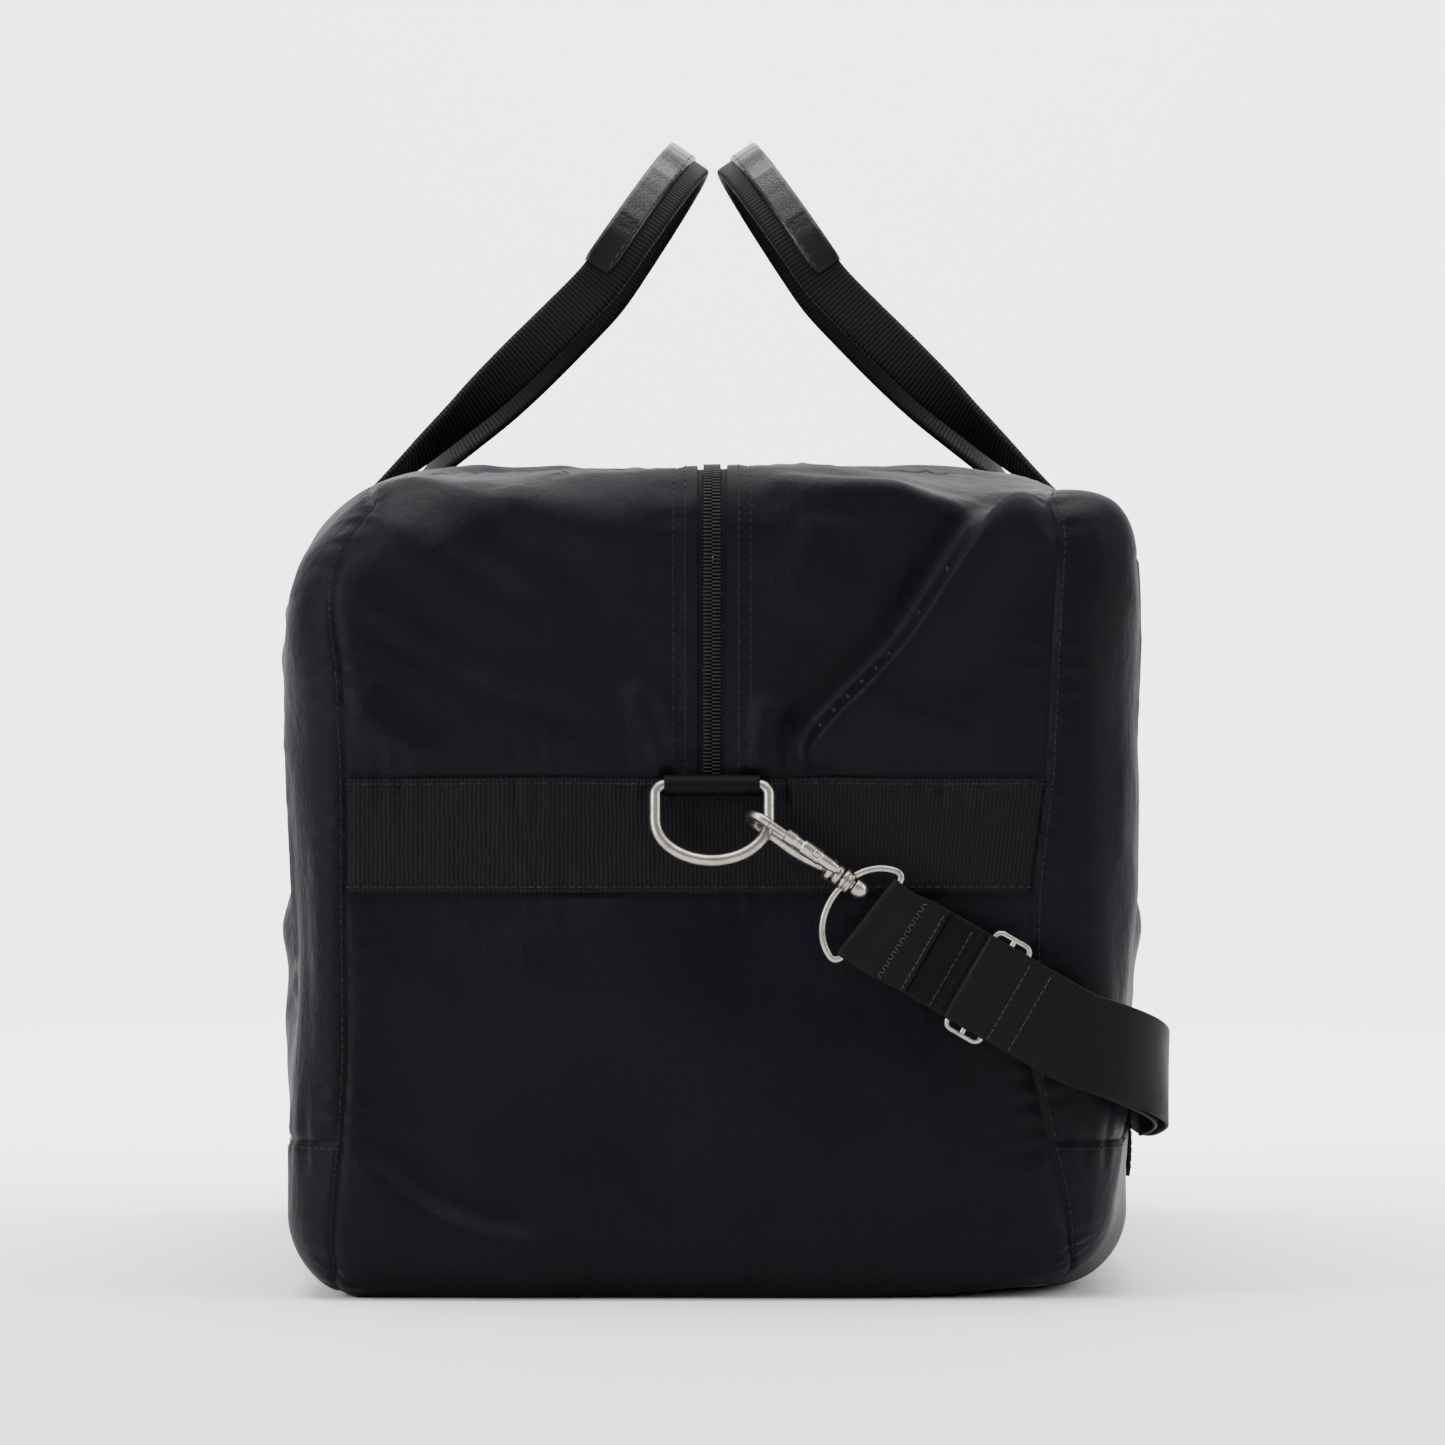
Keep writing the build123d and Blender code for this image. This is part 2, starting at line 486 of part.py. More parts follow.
def make_bows(parts):
    """The D-shaped wire bow at each end of the strap, with the collar that it swivels on."""
    half = Ellipse(BOW_DEPTH, BOW_HALF_WIDTH) & Pos(-BOW_DEPTH, 0) * Rectangle(
        2 * BOW_DEPTH, 4 * BOW_HALF_WIDTH
    )
    half = fillet(half.vertices(), BOW_WIRE)
    wire = wire_loop(bow_plane() * half, BOW_WIRE, Axis.X)
    place = hook_plane().location
    start, end, radius = BOW_COLLAR
    bow = wire + place * along_shank(start, end, radius)
    bow -= place * along_shank(start - BOW_WIRE, end + BOW_WIRE, STEM_RADIUS + STEM_CLEARANCE)
    parts["swivel_bow_near"], parts["swivel_bow_far"] = both_ends(bow)


def end_run(start, y_middle):
    """Near-end stretch of webbing, from start along the slope to where the corner begins."""
    slope = radians(STRAP_SLOPE)
    half = STRAP_WEBBING / 2
    reach = END_RUN_X / cos(slope)
    frame = Plane(
        origin=(STRAP_START[0], y_middle, STRAP_START[1]),
        x_dir=(cos(slope), 0, -sin(slope)),
        z_dir=(0, -1, 0),
    )
    overrun = half
    middle = (start + reach + overrun) / 2
    strip = Pos(middle, 0) * Rectangle(reach + overrun - start, STRAP_WEBBING)
    solid = extrude(frame * strip, amount=STRAP_THICKNESS / 2, both=True)
    return solid & block((-BAG_SPAN, CORNER_X), (-BAG_SPAN, 0), (-BAG_SPAN, BAG_SPAN))


def corner_run(y_middle):
    """Webbing round the near right corner, between the end stretch and the side stretch."""
    radius = CORNER_Y - y_middle
    half = STRAP_THICKNESS / 2
    quarter = Pos(CORNER_X, CORNER_Y) * (Circle(radius + half) - Circle(radius - half))
    quarter &= Pos(CORNER_X, CORNER_Y) * Rectangle(
        2 * radius, 2 * radius, align=(Align.MIN, Align.MAX)
    )
    wall = extrude(quarter, amount=BAG_HEIGHT)
    start_half = STRAP_WEBBING / 2 / cos(radians(STRAP_SLOPE))
    end_half = STRAP_WEBBING / 2 / cos(radians(STRAP_SIDE_SLOPE))
    reach = sqrt(2) * radius
    side = Polygon(
        (-half, CORNER_START_Z - start_half),
        (reach + half, CORNER_END_Z - end_half),
        (reach + half, CORNER_END_Z + end_half),
        (-half, CORNER_START_Z + start_half),
        align=None,
    )
    diagonal = Plane(origin=(CORNER_X, y_middle, 0), x_dir=(1, 1, 0), z_dir=(1, -1, 0))
    return wall & extrude(diagonal * side, amount=BAG_LENGTH, both=True)


def side_run(y_middle, y_low, y_high):
    """Webbing along the right side, sagging as an arc between the two corners."""
    x_middle = CORNER_X + CORNER_Y - y_middle
    half = STRAP_WEBBING / 2
    ring = Circle(SAG_RADIUS + half) - Circle(SAG_RADIUS - half)
    window = Pos((y_low + y_high) / 2, -SAG_RADIUS) * Rectangle(y_high - y_low, SAG_RADIUS)
    frame = Plane(origin=(x_middle, 0, SAG_CENTRE_Z), x_dir=(0, 1, 0), z_dir=(1, 0, 0))
    return extrude(frame * (ring & window), amount=STRAP_THICKNESS / 2, both=True)


def strap_fold():
    """Webbing turned round the near bow's bar and sewn flat along the face nearest the bag."""
    outer = STRAP_FOLD_RADIUS
    inner = outer - 2 * STRAP_THICKNESS
    profile = Circle(outer)
    profile += Polygon(
        (0, outer),
        (STRAP_SEWN_LENGTH, outer),
        (STRAP_SEWN_LENGTH, inner),
        (STRAP_TAPER_LENGTH, inner),
        (0, -outer),
        align=None,
    )
    profile -= Circle(BOW_WIRE / 2 + STRAP_FOLD_CLEARANCE)
    plane = bow_plane()
    side_on = Plane(origin=plane.origin, x_dir=plane.x_dir, z_dir=plane.x_dir.cross(Vector(0, 1, 0)))
    return extrude(side_on * profile, amount=STRAP_WEBBING / 2, both=True)


def make_strap(parts):
    """Shoulder strap: long webbing, the shorter tail under it, and the tri-glide adjuster."""
    glide_x = TRI_GLIDE_DISTANCE
    slope = radians(STRAP_SLOPE)

    tail = strap_fold()
    tail += end_run(STRAP_TAPER_LENGTH, TAIL_Y)
    tail += corner_run(TAIL_Y)
    tail += side_run(TAIL_Y, CORNER_Y, CORNER_Y + STRAP_TAIL_SIDE_LENGTH)
    parts["strap_tail"] = tail

    outward = Pos(0, GRIP_Y, 0) * mirror(Pos(0, -GRIP_Y, 0) * strap_fold(), about=Plane.XZ)
    far_half = outward + end_run(STRAP_TAPER_LENGTH, STRAP_Y) + corner_run(STRAP_Y)
    strap = end_run(glide_x - TRI_GLIDE_BAR / 2, STRAP_Y) + corner_run(STRAP_Y)
    strap += side_run(STRAP_Y, CORNER_Y, -CORNER_Y)
    strap += mirror(far_half, about=Plane.XZ)
    parts["strap_webbing"] = strap

    frame = Rectangle(TRI_GLIDE_ALONG, TRI_GLIDE_ACROSS)
    frame = fillet(frame.vertices(), TRI_GLIDE_BAR)
    slot_width = (TRI_GLIDE_ALONG - 3 * TRI_GLIDE_BAR) / 2
    for side in (-1, 1):
        slot_x = side * (slot_width + TRI_GLIDE_BAR) / 2
        frame -= Pos(slot_x, 0) * Rectangle(slot_width, TRI_GLIDE_ACROSS - 2 * TRI_GLIDE_BAR)
    face_y = STRAP_Y + STRAP_THICKNESS / 2
    middle = glide_x + (TRI_GLIDE_ALONG - TRI_GLIDE_BAR) / 2
    place = Plane(
        origin=(
            STRAP_START[0] + middle * cos(slope),
            face_y,
            STRAP_START[1] - middle * sin(slope),
        ),
        x_dir=(cos(slope), 0, -sin(slope)),
        z_dir=(0, 1, 0),
    )
    parts["tri_glide"] = extrude(place * frame, amount=TRI_GLIDE_THICKNESS)


def main():
    """Build every piece and write one STEP file each."""
    parts = {}
    make_panels(parts)
    make_lining_and_board(parts)
    make_zip(parts)
    make_bands(parts)
    make_rings(parts)
    make_handles(parts)
    make_hooks(parts)
    make_bows(parts)
    make_strap(parts)
    os.makedirs("parts", exist_ok=True)
    for name, piece in parts.items():
        export_step(piece, f"parts/{name}.step")


main()
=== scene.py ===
"""Looks of a soft duffel bag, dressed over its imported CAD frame.

Everything is in metres, in the frame's own axes: +Z up, the bag's length along Y, its near
end facing -Y. Fabric pieces are laid out on the bag's plain box and moved on to its filled,
sagging surface by BagForm, so panels, seams, stitches, zip and webbing all share one shape.
"""

import logging
import math
from dataclasses import dataclass, field, replace
from enum import Enum
from typing import Callable

import bpy
import numpy as np
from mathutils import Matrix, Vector
from mathutils.kdtree import KDTree


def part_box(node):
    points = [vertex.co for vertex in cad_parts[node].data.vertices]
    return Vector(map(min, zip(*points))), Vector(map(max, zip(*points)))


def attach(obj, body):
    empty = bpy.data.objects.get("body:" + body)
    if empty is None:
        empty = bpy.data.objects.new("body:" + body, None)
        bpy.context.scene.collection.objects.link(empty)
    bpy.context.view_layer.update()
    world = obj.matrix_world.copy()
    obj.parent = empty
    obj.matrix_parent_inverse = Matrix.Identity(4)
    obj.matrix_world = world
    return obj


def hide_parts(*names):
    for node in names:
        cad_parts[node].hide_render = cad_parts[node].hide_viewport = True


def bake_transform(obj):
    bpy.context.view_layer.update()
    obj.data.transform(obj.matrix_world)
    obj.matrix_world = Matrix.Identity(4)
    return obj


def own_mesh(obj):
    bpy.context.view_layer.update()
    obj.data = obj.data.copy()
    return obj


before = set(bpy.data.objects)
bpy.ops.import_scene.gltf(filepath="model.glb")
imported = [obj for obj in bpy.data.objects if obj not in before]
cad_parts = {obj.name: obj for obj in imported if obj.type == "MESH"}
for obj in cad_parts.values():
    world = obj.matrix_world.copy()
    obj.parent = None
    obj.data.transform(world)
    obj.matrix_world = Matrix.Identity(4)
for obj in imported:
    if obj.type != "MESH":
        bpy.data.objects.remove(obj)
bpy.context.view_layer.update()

Points = np.ndarray
Piece = bpy.types.Object
Shape = Callable[[np.ndarray, np.ndarray], np.ndarray]
LOG = logging.getLogger("duffel")
MM = 0.001


class End(Enum):
    """The bag's two ends, by their sign along Y."""

    NEAR = -1
    FAR = 1

    @property
    def word(self) -> str:
        """The end's name as the nodes spell it."""
        return self.name.lower()


class Side(Enum):
    """The bag's two sides, by their sign along X."""

    LEFT = -1
    RIGHT = 1

    @property
    def word(self) -> str:
        """The side's name as the nodes spell it."""
        return self.name.lower()


def ease(value: Points, low: float, high: float) -> Points:
    """Smooth step of value from 0 at low to 1 at high."""
    t = np.clip((value - low) / (high - low), 0.0, 1.0)
    return t * t * (3 - 2 * t)


def hump(value: Points, width: float) -> Points:
    """Bell of height 1 and the given half width."""
    return np.exp(-((value / width) ** 2))


def unit(vectors: Points) -> Points:
    """Vectors scaled to length 1, along the last axis."""
    size = np.linalg.norm(vectors, axis=-1, keepdims=True)
    return vectors / np.maximum(size, 1e-12)


def distances(line: Points) -> Points:
    """How far along a line each of its points lies."""
    return np.concatenate([[0.0], np.cumsum(np.linalg.norm(np.diff(line, axis=0), axis=1))])


def rows(share: Points, last: int) -> Points:
    """The row numbers that shares from 0 to 1 stand for, where the last row is last."""
    return np.rint(share * last).astype(int)


def columns(*values: "Points | float") -> Points:
    """Points from their X, Y and Z, where any of the three may be one number."""
    return np.stack(np.broadcast_arrays(*values), axis=1)


def resample(line: Points, pitch: float) -> Points:
    """Points at an even pitch along a broken line.

    Args:
        line: The line's own points, one row each.
        pitch: Wanted distance between points, rounded to fit the line.

    Returns:
        The evenly spaced points, both ends among them.
    """
    line = np.asarray(line, float)
    run = distances(line)
    count = max(2, round(run[-1] / pitch) + 1)
    at = np.linspace(0.0, run[-1], count)
    return np.stack([np.interp(at, run, line[:, k]) for k in range(line.shape[1])], axis=1)


def smooth_line(points: Points, passes: int) -> Points:
    """The line with its corners eased, both ends held.

    Args:
        points: The line's points, one row each.
        passes: How often it is eased.

    Returns:
        The eased line.
    """
    out = np.asarray(points, float).copy()
    for _ in range(passes):
        out[1:-1] = (out[:-2] + 2 * out[1:-1] + out[2:]) / 4
    return out


# ---- Shaders --------------------------------------------------------------------------


class Socket:
    """A shader value that adds Math nodes when it is used in arithmetic."""

    def __init__(self, tree: "ShaderTree", out: bpy.types.NodeSocket) -> None:
        """Wrap one output socket of a tree."""
        self.tree = tree
        self.out = out

    def __add__(self, other: "Socket | float") -> "Socket":
        """Sum."""
        return self.tree.math("ADD", self, other)

    __radd__ = __add__

    def __sub__(self, other: "Socket | float") -> "Socket":
        """Difference."""
        return self.tree.math("SUBTRACT", self, other)

    def __rsub__(self, other: float) -> "Socket":
        """Difference from a number."""
        return self.tree.math("SUBTRACT", other, self)

    def __mul__(self, other: "Socket | float") -> "Socket":
        """Product."""
        return self.tree.math("MULTIPLY", self, other)

    __rmul__ = __mul__

    def sine(self) -> "Socket":
        """Sine, taken to run from 0 to 1."""
        return self.tree.math("SINE", self) * 0.5 + 0.5


class ShaderTree:
    """The node tree of one material round a single Principled shader."""

    def __init__(self, name: str) -> None:
        """Start an empty material of that name.

        Args:
            name: The finish's name.
        """
        self.material = bpy.data.materials.new(f"{name}_finish")
        self.material.use_nodes = True
        self.nodes = self.material.node_tree.nodes
        self.nodes.clear()
        self.output = self.nodes.new("ShaderNodeOutputMaterial")
        self.shader = self.nodes.new("ShaderNodeBsdfPrincipled")
        self.link(self.shader.outputs["BSDF"], self.output.inputs["Surface"])

    def link(self, out: bpy.types.NodeSocket, into: bpy.types.NodeSocket) -> None:
        """Join two sockets."""
        self.material.node_tree.links.new(out, into)

    def node(self, kind: str, settings: dict | None = None, inputs: dict | None = None) -> bpy.types.Node:
        """Add a node.

        Args:
            kind: Node type, such as ShaderNodeMath.
            settings: Node properties, set before its sockets.
            inputs: Values or Sockets, by input name or number.

        Returns:
            The new node.
        """
        made = self.nodes.new(kind)
        for key, value in (settings or {}).items():
            setattr(made, key, value)
        for key, value in (inputs or {}).items():
            if isinstance(value, Socket):
                self.link(value.out, made.inputs[key])
            else:
                made.inputs[key].default_value = value
        return made

    def math(self, operation: str, *terms: "Socket | float") -> Socket:
        """One Math node over the terms."""
        made = self.node("ShaderNodeMath", {"operation": operation}, dict(enumerate(terms)))
        return Socket(self, made.outputs[0])

    def place(self, kind: str = "Object", scale: tuple = (1, 1, 1)) -> Socket:
        """Texture coordinates of a kind, scaled.

        Args:
            kind: Object or UV.
            scale: Scale along each axis.

        Returns:
            The coordinates.
        """
        source = Socket(self, self.node("ShaderNodeTexCoord").outputs[kind])
        made = self.node("ShaderNodeMapping", inputs={"Vector": source, "Scale": scale})
        return Socket(self, made.outputs["Vector"])

    def parts(self, vector: Socket) -> tuple[Socket, Socket, Socket]:
        """The three numbers of a vector."""
        made = self.node("ShaderNodeSeparateXYZ", inputs={0: vector})
        return tuple(Socket(self, out) for out in made.outputs)

    def noise(self, vector: Socket, scale: float, detail: float = 2.0, rough: float = 0.5) -> Socket:
        """Noise from 0 to 1."""
        inputs = {"Vector": vector, "Scale": scale, "Detail": detail, "Roughness": rough}
        return Socket(self, self.node("ShaderNodeTexNoise", inputs=inputs).outputs[0])

    def cells(self, vector: Socket, scale: float) -> Socket:
        """Distance to the nearest of scattered points."""
        made = self.node("ShaderNodeTexVoronoi", inputs={"Vector": vector, "Scale": scale})
        return Socket(self, made.outputs["Distance"])

    def span(
        self, value: Socket, low: float, high: float, to_low: float = 0.0, to_high: float = 1.0
    ) -> Socket:
        """Value mapped from one range to another, held at both ends."""
        inputs = {0: value, 1: low, 2: high, 3: to_low, 4: to_high}
        return Socket(self, self.node("ShaderNodeMapRange", {"clamp": True}, inputs).outputs[0])

    def mix(self, factor: Socket, first: tuple, second: tuple) -> Socket:
        """Colour between two."""
        inputs = {0: factor, 6: (*first, 1.0), 7: (*second, 1.0)}
        return Socket(self, self.node("ShaderNodeMix", {"data_type": "RGBA"}, inputs).outputs[2])

    def bump(self, height: Socket, depth: float, strength: float, over: Socket | None = None) -> Socket:
        """Normal bent by a height from 0 to 1 that stands for a real depth, over another bump.

        Args:
            height: Height from 0 to 1.
            depth: What height 1 stands for, in metres.
            strength: Share of the bend that shows.
            over: A coarser or finer bump beneath.

        Returns:
            The bent normal.
        """
        inputs = {"Height": height, "Distance": depth, "Strength": strength}
        if over:
            inputs["Normal"] = over
        return Socket(self, self.node("ShaderNodeBump", inputs=inputs).outputs[0])

    def dress(self, **inputs: "Socket | float | tuple") -> bpy.types.Material:
        """Set the shader's inputs, by name with spaces as underscores, and give the material.

        Args:
            inputs: A value, colour or Socket for each input.

        Returns:
            The finished material.
        """
        for key, value in inputs.items():
            socket = self.shader.inputs[key.replace("_", " ")]
            if isinstance(value, Socket):
                self.link(value.out, socket)
            elif isinstance(value, tuple):
                socket.default_value = (*value, 1.0)
            else:
                socket.default_value = value
        return self.material


@dataclass(frozen=True)
class Twill:
    """Woven nylon: fine diagonal ribs, slubs, and a soft sheen on its folds."""

    name: str = "nylon_twill"
    dark: tuple = (0.0013, 0.0013, 0.0025)
    light: tuple = (0.0028, 0.0028, 0.0048)
    rib_pitch: float = 0.00075
    sheen: float = 0.02

    def material(self) -> bpy.types.Material:
        """Build the material.

        Returns:
            The material.
        """
        tree = ShaderTree(self.name)
        x, y, z = tree.parts(tree.place())
        turn = 2 * math.pi / self.rib_pitch
        ribs = ((x + y + z) * turn).sine()
        cross = ((x - y + z) * (turn * 0.5)).sine()
        slubs = tree.noise(tree.place(), 420, 3, 0.7)
        clouds = tree.noise(tree.place(), 22, 3, 0.55)
        creases = tree.noise(tree.place(scale=(1, 1, 0.55)), 75, 4, 0.6)
        height = ribs * 0.35 + cross * 0.15 + slubs * 0.5
        threads = tree.bump(height, 0.00012, 0.55)
        shade = tree.span(clouds * 0.65 + slubs * 0.35, 0.32, 0.68)
        return tree.dress(
            Base_Color=tree.mix(shade, self.dark, self.light),
            Roughness=tree.span(clouds, 0.3, 0.7, 0.46, 0.56),
            Normal=tree.bump(creases, 0.0020, 0.6, threads),
            Sheen_Weight=self.sheen,
            Sheen_Roughness=0.42,
            Sheen_Tint=(0.55, 0.58, 0.85),
            Specular_IOR_Level=0.08,
        )


@dataclass(frozen=True)
class Webbing:
    """Ribbed webbing, on UV metres: u along the strip, v across it."""

    name: str
    dark: tuple = (0.0012, 0.0012, 0.0020)
    light: tuple = (0.0055, 0.0055, 0.0072)
    rib_pitch: float = 0.0017
    pick_pitch: float = 0.0011
    wander: float = 0.0006
    depth: float = 0.00028
    rough: float = 0.62

    def material(self) -> bpy.types.Material:
        """Build the material.

        Returns:
            The material.
        """
        tree = ShaderTree(self.name)
        along, across, _ = tree.parts(tree.place("UV"))
        drift = tree.noise(tree.place("UV"), 95, 2, 0.5)
        turn = 2 * math.pi
        ribs = ((along + drift * self.wander) * (turn / self.rib_pitch)).sine()
        picks = (across * (turn / self.pick_pitch) + along * (math.pi / self.rib_pitch)).sine()
        fibres = tree.noise(tree.place("UV", scale=(1, 0.3, 1)), 1500, 2, 0.6)
        weave = ribs * 0.62 + ribs * picks * 0.28 + fibres * 0.10
        fade = tree.noise(tree.place("UV"), 30, 2, 0.5)
        return tree.dress(
            Base_Color=tree.mix(tree.span(weave * 0.8 + fade * 0.2, 0.15, 0.9), self.dark, self.light),
            Roughness=tree.span(fade, 0.3, 0.7, self.rough - 0.06, self.rough + 0.08),
            Normal=tree.bump(weave, self.depth, 0.8),
            Specular_IOR_Level=0.09,
        )


@dataclass(frozen=True)
class Leather:
    """Glossy black leather with pores and creases across the grip, on UV metres."""

    name: str = "grip_leather"

    def material(self) -> bpy.types.Material:
        """Build the material.

        Returns:
            The material.
        """
        tree = ShaderTree(self.name)
        grain = tree.cells(tree.place("UV"), 900)
        creases = tree.noise(tree.place("UV", scale=(1.0, 0.16, 1)), 260, 4, 0.62)
        folds = tree.noise(tree.place("UV", scale=(1.0, 0.3, 1)), 90, 3, 0.6)
        height = grain * 0.2 + creases * 0.45 + folds * 0.35
        worn = tree.span(folds, 0.4, 0.7)
        return tree.dress(
            Base_Color=tree.mix(worn, (0.0018, 0.0018, 0.0024), (0.005, 0.005, 0.0065)),
            Roughness=tree.span(creases, 0.3, 0.75, 0.24, 0.40),
            Normal=tree.bump(height, 0.0006, 0.75),
            Coat_Weight=0.10,
            Coat_Roughness=0.16,
            Specular_IOR_Level=0.20,
        )


@dataclass(frozen=True)
class PlatedMetal:
    """Satin plated metal with fine brushing and a few dull patches."""

    name: str
    bright: tuple = (0.36, 0.33, 0.30)
    dull: tuple = (0.25, 0.225, 0.20)
    rough: float = 0.30

    def material(self) -> bpy.types.Material:
        """Build the material.

        Returns:
            The material.
        """
        tree = ShaderTree(self.name)
        brush = tree.noise(tree.place(scale=(1, 1, 0.25)), 2600, 2, 0.6)
        patches = tree.noise(tree.place(), 160, 3, 0.6)
        pits = tree.cells(tree.place(), 1200)
        return tree.dress(
            Base_Color=tree.mix(tree.span(patches, 0.42, 0.66), self.bright, self.dull),
            Metallic=1.0,
            Roughness=tree.span(brush * 0.6 + patches * 0.4, 0.3, 0.7, self.rough - 0.07, self.rough + 0.09),
            Normal=tree.bump(brush * 0.7 + pits * 0.3, 0.00005, 0.5),
        )


@dataclass(frozen=True)
class Filament:
    """Drawn nylon, as in the zip's coil and the sewing thread."""

    name: str
    colour: tuple
    rough: float = 0.34

    def material(self) -> bpy.types.Material:
        """Build the material.

        Returns:
            The material.
        """
        tree = ShaderTree(self.name)
        twist = tree.noise(tree.place(), 1800, 2, 0.6)
        dark = tuple(c * 0.6 for c in self.colour)
        return tree.dress(
            Base_Color=tree.mix(twist, dark, self.colour),
            Roughness=tree.span(twist, 0.3, 0.7, self.rough - 0.05, self.rough + 0.1),
            Normal=tree.bump(twist, 0.00005, 0.5),
            Specular_IOR_Level=0.22,
        )


@dataclass(frozen=True)
class PlainWeave:
    """Plain woven cloth for the lining and the zip's tape, on object coordinates."""

    name: str
    dark: tuple
    light: tuple
    pitch: float = 0.0009

    def material(self) -> bpy.types.Material:
        """Build the material.

        Returns:
            The material.
        """
        tree = ShaderTree(self.name)
        x, y, z = tree.parts(tree.place())
        turn = 2 * math.pi / self.pitch
        warp = ((x + z) * turn).sine()
        weft = ((y + z) * turn).sine()
        fuzz = tree.noise(tree.place(), 700, 3, 0.6)
        weave = warp * weft * 0.7 + fuzz * 0.3
        return tree.dress(
            Base_Color=tree.mix(tree.span(weave, 0.1, 0.8), self.dark, self.light),
            Roughness=tree.span(fuzz, 0.3, 0.7, 0.62, 0.78),
            Normal=tree.bump(weave, 0.0002, 0.7),
            Specular_IOR_Level=0.12,
        )


@dataclass(frozen=True)
class PressedBoard:
    """Stiff pressed sheet with a pebbled skin and scuffed patches."""

    name: str = "base_board"

    def material(self) -> bpy.types.Material:
        """Build the material.

        Returns:
            The material.
        """
        tree = ShaderTree(self.name)
        pebble = tree.cells(tree.place(), 650)
        scuffs = tree.noise(tree.place(scale=(1, 0.2, 1)), 60, 4, 0.7)
        return tree.dress(
            Base_Color=tree.mix(tree.span(scuffs, 0.5, 0.75), (0.010, 0.010, 0.010), (0.028, 0.027, 0.026)),
            Roughness=tree.span(scuffs, 0.3, 0.7, 0.5, 0.72),
            Normal=tree.bump(pebble, 0.00025, 0.6),
        )


class Finish(Enum):
    """Every finish on the bag. Each builds its material once, when it is first used."""

    NYLON = Twill()
    SMOOTH_TAPE = Twill("sleeve_tape", (0.0008, 0.0008, 0.0010), (0.0016, 0.0016, 0.0020), 0.0006, 0.0)
    BAND = Webbing("end_band", wander=0.0016)
    HANDLE = Webbing("handle_webbing", rib_pitch=0.0019, depth=0.00034)
    STRAP = Webbing(
        "strap_webbing", (0.0012, 0.0012, 0.0014), (0.0045, 0.0045, 0.0050),
        rib_pitch=0.0011, pick_pitch=0.0008, wander=0.0002, depth=0.00014, rough=0.5,
    )
    LEATHER = Leather()
    NICKEL = PlatedMetal("satin_nickel")
    ZIP_METAL = PlatedMetal("zip_metal", (0.40, 0.385, 0.365), (0.28, 0.27, 0.255), 0.34)
    SPRING = PlatedMetal("spring_wire", (0.5, 0.5, 0.5), (0.36, 0.36, 0.36), 0.3)
    COIL = Filament("zip_coil", (0.0060, 0.0062, 0.0085), 0.36)
    THREAD = Filament("sewing_thread", (0.0060, 0.0060, 0.0070), 0.55)
    PALE_THREAD = Filament("bartack_thread", (0.022, 0.022, 0.025), 0.55)
    ZIP_TAPE = PlainWeave("zip_tape", (0.0035, 0.0035, 0.0042), (0.008, 0.008, 0.010), 0.0008)
    LINING = PlainWeave("lining_cloth", (0.012, 0.012, 0.014), (0.030, 0.030, 0.034), 0.0011)
    BOARD = PressedBoard()

    @property
    def built(self) -> bpy.types.Material:
        """The finish's material."""
        return bpy.data.materials.get(f"{self.value.name}_finish") or self.value.material()


# ---- Modelling ------------------------------------------------------------------------


